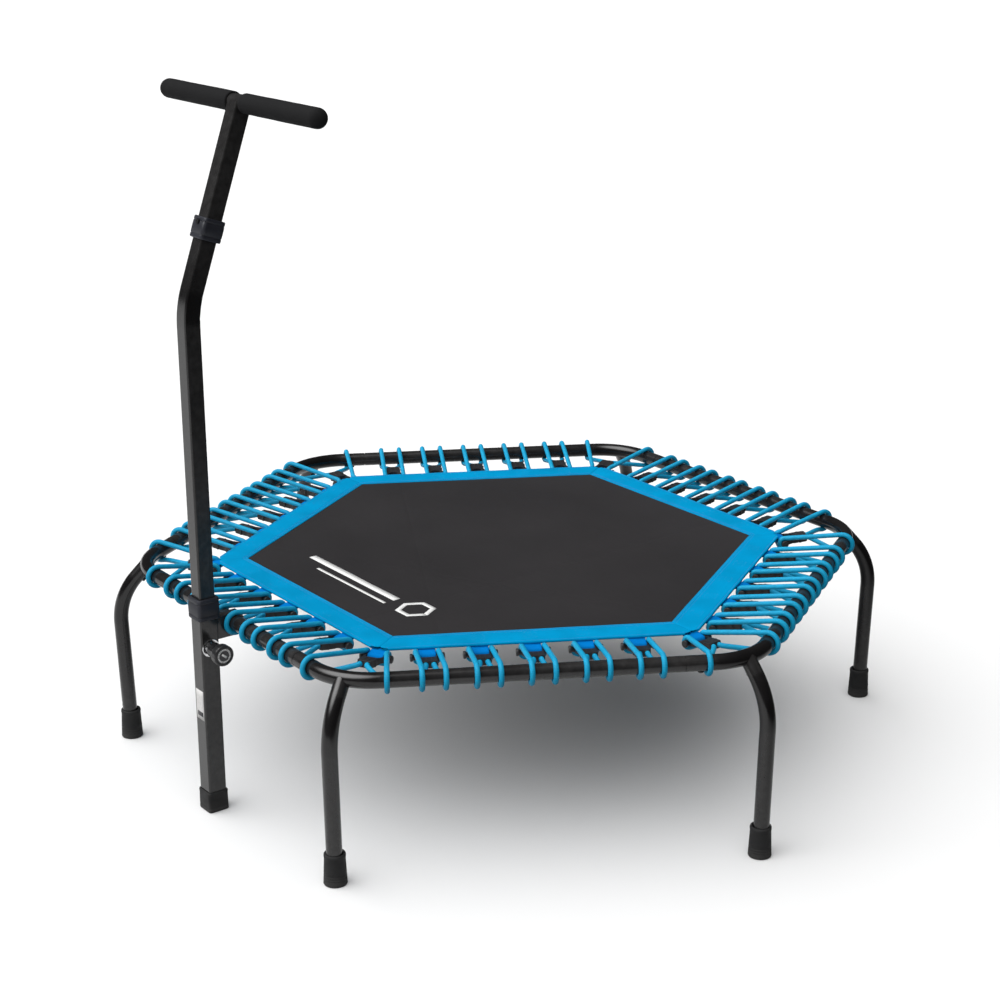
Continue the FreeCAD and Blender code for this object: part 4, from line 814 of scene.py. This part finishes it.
def border_stitching():
    """Two seams at the inner edge, one at the outer edge, and a crossed box over each tab."""
    shell = Shell()
    for side in range(CORNERS):
        for offset in (3.4, 8.0, 46.6):
            apothem = BORDER_INNER + offset
            reach = border_reach(apothem) - 2.0
            stitch_run(shell, side, (apothem, -reach), (apothem, reach))
        for along in tab_places(side):
            inner, outer = 404.0, 424.0
            left, right = along - 10.5, along + 10.5
            for start, end in (((inner, left), (inner, right)), ((outer, left), (outer, right)),
                               ((inner, left), (outer, left)), ((inner, right), (outer, right)),
                               ((inner, left), (outer, right)), ((inner, right), (outer, left))):
                stitch_run(shell, side, start, end)
    piece = solid("border_stitching", shell, "border_thread")
    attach(piece, "mat")


def tab_path():
    """Middle line of one webbing tab: out from under the border, round the cross bar and back."""
    centre = Vector((0, 0, HOOK_HEIGHT))
    radius = HOOK_BAR_RADIUS + 0.15 + TAB_THICKNESS / 2
    top_layer = BORDER_BOTTOM - 0.75
    low_layer = top_layer - TAB_THICKNESS - 0.1
    path = [Vector((x, 0, top_layer)) for x in linspace(-46, -16, 5)]
    turn = linspace(radians(78), radians(-162), 18)
    around = [centre + Vector((cos(a), 0, sin(a))) * radius for a in turn]
    last = path[-1]
    path += [last.lerp(around[0], 0.35) + Z_AXIS * 0.35, last.lerp(around[0], 0.7) + Z_AXIS * 0.3]
    path += around
    back = Vector((-20, 0, low_layer))
    path += [around[-1].lerp(back, 0.35) - Z_AXIS * 0.3, around[-1].lerp(back, 0.7)]
    path += [Vector((x, 0, low_layer)) for x in linspace(-20, -46, 4)]
    return path


def mat_tabs():
    """Webbing tabs round the cross bars."""
    half, thick = TAB_WIDTH / 2, TAB_THICKNESS / 2
    across = linspace(-half + 0.5, half - 0.5, 7)
    outline = [(x, thick) for x in reversed(across)] + [(-half, thick * 0.4), (-half, -thick * 0.4)]
    outline += [(x, -thick) for x in across] + [(half, -thick * 0.4), (half, thick * 0.4)]
    strap = sweep(tab_path(), outline)
    size = len(outline)
    for i, (_, _, run) in enumerate(strap.pattern):
        strap.pattern[i] = (outline[i % size][0] * MM, run, 0.0)
    shell = Shell()
    for place in side_frames() + corner_frames():
        shell.add_shell(strap, place)
    piece = solid("webbing_tabs", shell, "tab_webbing", sharp=60)
    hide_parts("mat_tabs")
    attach(piece, "mat")


def mat_print():
    """Plain white print near the hand support: a hexagon ring and two stripes."""
    shell = Shell()
    middle_x, middle_y, outer, inner = 150.0, -293.0, 34.0, 24.0
    rows = []
    for k in range(CORNERS * 4 + 1):
        a, b = divmod(k, 4)
        direction = heading(60 * a).lerp(heading(60 * a + 60), b / 4)
        rows.append([direction * radius for radius in (inner, outer)])
    strips = [[[(middle_x + p.x, middle_y + p.y) for p in row] for row in rows]]
    for low, high, left, right in ((-300.0, -286.0, -165.0, 96.0), (-320.0, -314.0, -110.0, 96.0)):
        strips.append([[(x, low), (x, high)] for x in linspace(left, right, 30)])
    for strip in strips:
        sheet = [[(x, y, mat_height(x, y) + 0.14) for x, y in row] for row in strip]
        shell.add_shell(plate(sheet))
    piece = solid("plain_print", shell, "white_print")
    thickened(piece, 0.1)
    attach(piece, "mat")


# ---------------- hooks

def hook_plate():
    """Arms and cord block of a hook: an arch round the window, thicker at its outer end."""
    outer = [(0.5, 17.6), (4.0, 18.3), (8.0, 18.2), (12.0, 17.0), (16.0, 14.9), (20.0, 13.4), (25.0, 12.8),
             (29.0, 12.6), (30.5, 14.6), (33.0, 13.0), (36.0, 12.5), (41.0, 12.3), (43.2, 11.4), (44.0, 9.4),
             (44.0, 4.7), (44.0, 0.0)]
    inner = [(0.5, 13.8), (4.0, 13.9), (8.0, 13.7), (11.5, 12.9), (14.5, 11.4), (16.8, 9.6), (18.0, 8.2),
             (18.7, 7.0), (19.0, 6.2), (19.3, 5.2), (19.5, 4.2), (19.7, 3.2), (19.8, 2.4), (19.9, 1.6),
             (20.0, 0.8), (20.0, 0.0)]
    stations = list(zip(outer, inner))
    stations += [((ox, -oy), (ix, -iy)) for (ox, oy), (ix, iy) in reversed(stations[:-1])]
    points = []
    for (ox, oy), (ix, iy) in stations:
        for x, y in ((ox, oy), (ix, iy)):
            half = 4.3 + 1.5 * smooth_step((x - 14.0) / 8.0)
            points += [(x, y, half), (x, y, -half)]
    faces = []
    for i in range(len(stations) - 1):
        a, b = 4 * i, 4 * (i + 1)
        faces += [[a, a + 2, b + 2, b], [a + 1, b + 1, b + 3, a + 3],
                  [a, b, b + 1, a + 1], [a + 2, a + 3, b + 3, b + 2]]
    last = 4 * (len(stations) - 1)
    faces += [[0, 1, 3, 2], [last, last + 2, last + 3, last + 1]]
    return Shell().add(points, faces)


def hook_shape():
    """One moulded hook: plate, cross bar with end discs, ribs and raised rims round the cord holes."""
    shell = hook_plate()
    half_bar = [(22.2, 4.5), (22.7, 4.7), (22.95, 5.5), (23.4, 6.0), (24.0, 6.2), (26.4, 6.2), (27.1, 5.8),
                (27.4, 5.0), (27.4, 0.0)]
    profile = [(-z, r) for z, r in reversed(half_bar)] + [(-12.0, 4.5), (0.0, 4.5), (12.0, 4.5)] + half_bar
    shell.add_shell(lathe(profile, 28, turned(-90, "X")))
    for y in (-CORD_HOLE_SPREAD, CORD_HOLE_SPREAD):
        rim = [(0.75 * sin(a), 5.1 + 0.75 * cos(a)) for a in linspace(-pi, pi, 9)]
        place = moved(HOOK_LENGTH, y, 0) @ turned(90, "Y")
        shell.add_shell(lathe(rim, 24, place))
    for y in (-4.2, 4.2):
        for side in (-1, 1):
            bar = [Vector((x, y, side * 5.75)) for x in (24.0, 30.0, 36.0, 41.0)]
            shell.add_shell(sweep(bar, circle(0.55, 8)))
    return shell


def hooks():
    """Hooks of the sides and of the corners."""
    shape = hook_shape()
    for node, places in (("side_hooks", side_frames()), ("corner_hooks", corner_frames())):
        shell = Shell()
        for place in places:
            shell.add_shell(shape, tilted(place))
        piece = solid(f"moulded_{node}", shell, "hook_plastic", sharp=50)
        welded(piece)
        bevelled(piece, 0.7)
        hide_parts(node)
        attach(piece, "mat")


# ---------------- cords

def hermite(start, end, leave, arrive, count):
    """Points of a cubic with given end directions, without its first point."""
    points = []
    for i in range(1, count + 1):
        t = i / count
        a, b = 2 * t ** 3 - 3 * t ** 2 + 1, t ** 3 - 2 * t ** 2 + t
        c, d = -2 * t ** 3 + 3 * t ** 2, t ** 3 - t ** 2
        points.append(start * a + leave * b + end * c + arrive * d)
    return points


def cord_paths(yaw, rail_distance):
    """Middle lines of one cord in its hook frame: the lower strand at +Y, and the whole upper loop.

    The strand lies in a vertical plane through an ear of the hook, turned by yaw from the hook's X axis;
    rail_distance is measured in that plane, from the ear to the middle of the rail.
    """
    wrap = CORD_RADIUS + CORD_CLEARANCE
    ear_wrap = HOOK_BAR_RADIUS + wrap
    rail_wrap = TUBE_RADIUS + wrap
    ear = Vector((0, CORD_SPREAD, HOOK_HEIGHT))
    outwards = heading(yaw)
    rise = RAIL_HEIGHT - HOOK_HEIGHT
    rail = ear + outwards * rail_distance + Z_AXIS * rise

    def around(centre, heading, radius, angle):
        return centre + heading * (radius * cos(angle)) + Z_AXIS * (radius * sin(angle))

    def along(heading, angle):
        return heading * -sin(angle) + Z_AXIS * cos(angle)

    widening = asin((rail_wrap - ear_wrap) / hypot(rail_distance, rise))
    slope = atan2(rise, rail_distance) + widening
    top = slope + pi / 2
    bottom = top - radians(204)
    hole = Vector((cos(radians(HOOK_TILT)), 0, sin(radians(HOOK_TILT))))
    bar = Vector((0, CORD_HOLE_SPREAD, HOOK_HEIGHT))
    mouth = bar + hole * (HOOK_LENGTH + 2)
    under = around(rail, outwards, rail_wrap, bottom)
    lower = [bar + hole * (HOOK_LENGTH - 8), bar + hole * (HOOK_LENGTH - 3), mouth]
    lower += hermite(mouth, under, hole * 16 - Z_AXIS * 5, along(outwards, bottom) * 40, 16)

    over = around(rail, outwards, rail_wrap, top)
    strand_end = around(ear, outwards, ear_wrap, top)
    inwards = (strand_end - over).normalized()
    turn = 16.0
    strand_end -= inwards * turn
    seat = around(ear, X_AXIS, ear_wrap, top)
    ear_low = radians(225)
    leave = around(ear, X_AXIS, ear_wrap, ear_low)
    middle = Vector((-4.5, 0, HOOK_HEIGHT - ear_wrap - 2))
    half = [around(rail, outwards, rail_wrap, a) for a in linspace(bottom, top, 22)]
    half += [over.lerp(strand_end, t) for t in linspace(0.05, 1.0, 20)]
    half += hermite(strand_end, seat, inwards * turn, along(X_AXIS, top) * turn, 6)
    half += [around(ear, X_AXIS, ear_wrap, a) for a in linspace(top, ear_low, 12)[1:]]
    half += hermite(leave, middle, along(X_AXIS, ear_low) * 17, Vector((0, -24, 0)), 9)
    upper = half + [Vector((p.x, -p.y, p.z)) for p in reversed(half[:-1])]
    return lower, upper


def cord_pieces(name, places, yaw, rail_distance, reaches, nodes):
    """Upper loops and lower strands of a group of cords, each stretched between the rail and the bed."""
    lower, upper = cord_paths(yaw, rail_distance)
    outline = circle(CORD_RADIUS, 20)
    mirrored = [Vector((p.x, -p.y, p.z)) for p in lower]
    parts = (("upper", [upper], reaches[0]), ("lower", [lower, mirrored], reaches[1]))
    for part, paths, (rail_side, bed_side) in parts:
        shell = Shell()
        for place in places:
            for path in paths:
                shell.add_shell(sweep(path, outline), place)
        piece = solid(f"{name}_{part}", shell, "cord_braid", sharp=70)
        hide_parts(*nodes)
        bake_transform(piece)


def cords():
    """Bungee cords of the sides and of the corners."""
    for side in range(CORNERS):
        cord_pieces(f"side_{side + 1}_cords", hook_frames(side), 0.0, RAIL_APOTHEM - HOOK_DISTANCE,
                    ((552, 458), (546, 497)), ["side_cords"])
    inset = HOOK_CORNER_DISTANCE * COS_30 + CORD_SPREAD / 2
    span = (RAIL_APOTHEM - inset) / cos(radians(30 - CORNER_YAW))
    for index in range(CORNERS):
        cord_pieces(f"corner_{index + 1}_cord", [corner_frame(index)], CORNER_YAW, span,
                    ((600, 516), (592, 556)), ["corner_cords"])


# ---------------- feet, collars and grips

def feet():
    """Rubber feet: a ribbed bell with a rolled mouth round the leg and a shallow tread below."""
    profile = [(0.0, 0.0), (0.0, 12.0), (1.2, 12.8), (1.2, 14.2), (0.0, 15.0), (0.0, 16.8), (0.6, 18.2),
               (2.0, 18.75), (4.0, 18.6), (6.0, 18.45)]
    for low in (8.0, 12.5, 17.0):
        ring = ((0.0, 18.75), (0.7, 18.2), (1.8, 18.2), (2.5, 18.7))
        profile += [(low + rise, radius - low * 0.043) for rise, radius in ring]
    profile += [(26.0, 17.6), (38.0, 17.05), (46.0, 16.75), (47.0, 17.25), (50.0, 17.2), (51.4, 16.7),
                (52.0, 15.6), (52.0, 13.9), (51.2, 13.05), (49.0, 12.9), (6.5, 12.9), (6.0, 12.0), (6.0, 0.0)]
    for index in range(CORNERS):
        place = turned(60 * index) @ moved(FOOT_DISTANCE, 0, 0)
        piece = solid(f"rubber_foot_{index + 1}", lathe(profile, 56, place), "foot_rubber", sharp=48)
        welded(piece)
        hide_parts(f"foot_{index + 1}")
        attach(piece, "frame")


def post_foot():
    """Square rubber cap of the post, with a tread and a rolled mouth."""
    sections = [(1.2, 24.0, 3.0), (0.0, 27.0, 3.5), (0.0, 34.0, 4.5), (0.7, 36.2, 5.0), (2.2, 37.0, 5.0),
                (7.0, 37.0, 5.0), (7.6, 36.2, 4.8), (8.8, 36.2, 4.8), (9.4, 37.0, 5.0), (30.5, 36.4, 4.8),
                (31.3, 37.2, 5.2), (34.0, 37.2, 5.2), (35.4, 36.2, 4.8), (36.0, 34.6, 4.0), (35.6, 32.9, 3.2),
                (33.0, 32.3, 2.9), (6.0, 32.3, 2.9)]
    shell = loft(sections, moved(0, POST_Y, 0))
    piece = solid("rubber_post_foot", shell, "foot_rubber", sharp=48)
    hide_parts("post_foot")
    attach(piece, "frame")


def collar_sections(low, high, width, bore, radius):
    """A moulded sleeve: rolled rims, two grooves and a slight swell between them."""
    middle = (low + high) / 2
    quarter = (high - low) * 0.2

    def groove(z):
        return [(z - 1.0, width - 0.3, radius), (z - 0.4, width - 1.3, radius),
                (z + 0.4, width - 1.3, radius), (z + 1.0, width - 0.3, radius)]

    outer = [(low, width - 3.2, radius - 0.8), (low + 0.5, width - 1.4, radius),
             (low + 1.5, width - 0.5, radius)]
    outer += groove(low + quarter) + [(middle, width, radius)] + groove(high - quarter)
    outer += [(high - 1.5, width - 0.5, radius), (high - 0.5, width - 1.4, radius),
              (high, width - 3.2, radius - 0.8)]
    inner = [(high, bore + 1.0, 3.2), (high - 0.8, bore, 3.0), (low + 0.8, bore, 3.0), (low, bore + 1.0, 3.2)]
    return outer + inner


def collars():
    """Lower collar on the post and upper collar over the mast's joint."""
    low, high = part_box("lower_collar")
    bottom, top = low.z * 1000, high.z * 1000
    sections = collar_sections(bottom, top, 39.5, 28.4, 6.0)
    inner = [(top, 30.0, 3.4), (top - 1.0, 28.4, 3.0), (top - 3.0, 28.4, 3.0), (top - 3.1, 32.2, 3.0),
             (bottom + 0.8, 32.2, 3.0), (bottom, 33.2, 3.2)]
    shell = loft(sections[:-4] + inner, moved(0, POST_Y, 0), closed=True)
    lower = solid("moulded_lower_collar", shell, "collar_plastic", sharp=48)
    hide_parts("lower_collar")
    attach(lower, "frame")
    half = 16.8
    shell = loft(collar_sections(-half, half, 38.2, 28.2, 5.5), lean_frame(MAST_JOINT), closed=True)
    upper = solid("moulded_upper_collar", shell, "collar_plastic", sharp=48)
    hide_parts("upper_collar")
    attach(upper, "mast")


def grips():
    """Foam grips with rounded ends, very slightly uneven."""
    radius, start, end, bore = 15.5, 18.0, 233.0, 12.7
    profile = [(start + 4, bore), (start + 0.4, bore), (start, bore + 0.5), (start, radius - 1.4),
               (start + 0.5, radius - 0.5), (start + 1.6, radius)]
    profile += [(z, radius) for z in linspace(start + 6, end - radius, 48)]
    profile += [(end - radius + radius * sin(a), radius * cos(a))
                for a in linspace(radians(6), radians(90), 15)]
    for name, turn in (("grip_right", 0.0), ("grip_left", 180.0)):
        place = bar_frame() @ turned(turn, "X")
        shell = lathe(profile, 64, place)
        axis = bar_frame().to_translation()
        for i, point in enumerate(shell.points):
            away = Vector((0, point.y - axis.y, point.z - axis.z))
            if away.length > 1.0:
                swell = noise.noise(Vector((point.x / 30, away.y / 12, away.z / 12))) * 0.22
                shell.points[i] = point + away.normalized() * swell
        piece = solid(f"foam_{name}", shell, "grip_foam", sharp=60)
        welded(piece)
        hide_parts(name)
        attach(piece, "mast")


# ---------------- pull knob and small marks

def pull_knob():
    """Knob with a fluted skirt and a wide cap with a rounded rim."""
    profile = [(45.0, 0.0), (45.0, 9.6), (25.3, 9.6), (25.0, 10.0), (25.0, 12.0), (25.6, 12.5), (28.0, 12.5),
               (42.0, 12.5), (44.0, 12.9), (46.0, 15.4), (47.5, 17.2), (49.0, 17.6), (57.4, 17.6),
               (59.0, 17.2), (60.0, 15.8), (60.0, 13.3), (59.7, 12.7), (58.6, 12.5), (58.5, 0.0)]

    def fluted(z, r, angle):
        grooved = (28.0 <= z <= 42.0 and r > 12) or (49.0 <= z <= 57.4 and r > 17.5)
        return 0.45 * (0.5 + 0.5 * cos(angle * 18)) if grooved else 0.0

    shell = lathe(profile, 72, pin_frame(), fluted)
    piece = solid("moulded_pull_knob", shell, "knob_plastic", sharp=45)
    welded(piece)
    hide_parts("pull_knob")
    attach(piece, "pin")


def pin_spring():
    """Compression spring between the housing's lip and the pin's shoulder."""
    turns = SPRING_LENGTH / SPRING_PITCH
    path = []
    for share in linspace(0.0, 1.0, int(turns * 28)):
        angle = 2 * pi * turns * share
        along = SPRING_START + SPRING_LENGTH * share
        coil = Vector((SPRING_RADIUS * cos(angle), SPRING_RADIUS * sin(angle), along))
        path.append(pin_frame() @ coil)
    shell = sweep(path, circle(SPRING_WIRE, 12))
    piece = solid("coiled_pin_spring", shell, "plain_steel")
    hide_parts("pin_spring")
    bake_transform(piece)


def knob_marks():
    """A ring of plain ticks and one bar on the knob's disc."""
    shell = Shell()
    face = 59.72
    for i in range(24):
        angle = 2 * pi * i / 24
        wide = 0.085 if i % 4 else 0.11
        rows = [[(r * cos(angle + w), r * sin(angle + w), face) for r in (9.0, 11.8)]
                for w in (-wide, 0, wide)]
        shell.add_shell(plate(rows, pin_frame()))
    rows = [[(x, y, face) for y in (-1.7, 1.7)] for x in (-5.2, -1.7, 1.7, 5.2)]
    shell.add_shell(plate(rows, pin_frame() @ turned(50)))
    piece = solid("knob_ticks", shell, "white_print")
    thickened(piece, 0.08)
    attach(piece, "pin")


def post_label():
    """Blank pale sticker on the outward face of the post, with one plain grey band."""
    face = POST_Y - 16.1
    for name, material, low, high, half, lift in (("blank_label", "label_paper", 164.0, 216.0, 11.5, 0.0),
                                                  ("label_band", "disc_plastic", 170.0, 178.0, 9.0, 0.08)):
        rows = [[(x, face - lift, z) for x in linspace(-half, half, 4)] for z in linspace(low, high, 6)]
        piece = solid(name, plate(rows), material)
        thickened(piece, 0.1)
        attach(piece, "frame")


# ---------------- CAD nodes that stay

def dress_cad_nodes():
    """Gives every CAD node its material; the nodes that a piece replaces are already hidden."""
    slots = {entry["node"]: entry["material_slot"] for entry in frame["record"]["subparts"]}
    for name, node in frame["nodes"].items():
        node.data.materials.clear()
        node.data.materials.append(MATERIALS[slots[name]])


# ---------------- stage

def soft_surround():
    """Even white to the camera; a very wide soft box lights the object, and gloss mirrors its core."""
    world = bpy.data.worlds.new("studio")
    bpy.context.scene.world = world
    world.use_nodes = True
    tree = world.node_tree
    light_path = tree.nodes.new("ShaderNodeLightPath")
    coordinates = tree.nodes.new("ShaderNodeTexCoord")
    facing = tree.nodes.new("ShaderNodeVectorMath")
    facing.operation = "DOT_PRODUCT"
    facing.inputs[1].default_value = Vector(SOFT_BOX_DIRECTION).normalized()
    tree.links.new(coordinates.outputs["Generated"], facing.inputs[0])
    glows = []
    ranges = ((0.30, 0.95, AMBIENT, SOFT_BOX), (0.80, 0.97, AMBIENT * 0.6, MIRRORED_BOX))
    for start, end, dim, bright in ranges:
        glow = tree.nodes.new("ShaderNodeMapRange")
        glow.interpolation_type = "SMOOTHSTEP"
        for name, number in (("From Min", start), ("From Max", end), ("To Min", dim), ("To Max", bright)):
            glow.inputs[name].default_value = number
        tree.links.new(facing.outputs["Value"], glow.inputs["Value"])
        glows.append(glow.outputs[0])
    light = tree.nodes.new("ShaderNodeMix")
    tree.links.new(light_path.outputs["Is Glossy Ray"], light.inputs[0])
    tree.links.new(glows[0], light.inputs[2])
    tree.links.new(glows[1], light.inputs[3])
    strength = tree.nodes.new("ShaderNodeMix")
    strength.inputs[3].default_value = 1.0
    tree.links.new(light_path.outputs["Is Camera Ray"], strength.inputs[0])
    tree.links.new(light.outputs[0], strength.inputs[2])
    tree.links.new(strength.outputs[0], tree.nodes["Background"].inputs["Strength"])
    tree.nodes["Background"].inputs["Color"].default_value = (1, 1, 1, 1)


def studio():
    """Pale floor and soft light."""
    half = 40000.0
    rows = [[(x, y, -0.2) for x in (-half, half)] for y in (-half, half)]
    floor = solid("floor", plate(rows), "studio_floor")
    soft_surround()


def camera():
    """A long lens on the +X -Y side, looking down at the bed."""
    data = bpy.data.cameras.new("camera")
    data.sensor_width = 36.0
    data.lens = CAMERA_LENS
    data.clip_end = 200
    view = bpy.data.objects.new("camera", data)
    place, target = settled(CAMERA_PLACE), settled(CAMERA_TARGET)
    aim = (target - place).to_track_quat("-Z", "Y").to_matrix().to_4x4()
    view.matrix_world = Matrix.Translation(place) @ aim @ turned(CAMERA_ROLL)
    bpy.context.scene.collection.objects.link(view)
    bpy.context.scene.camera = view


jump_mat()
mat_border()
border_stitching()
mat_tabs()
mat_print()
hooks()
cords()
feet()
post_foot()
collars()
grips()
pull_knob()
pin_spring()
knob_marks()
post_label()
dress_cad_nodes()
studio()
camera()
bpy.context.scene.view_settings.view_transform = "Standard"
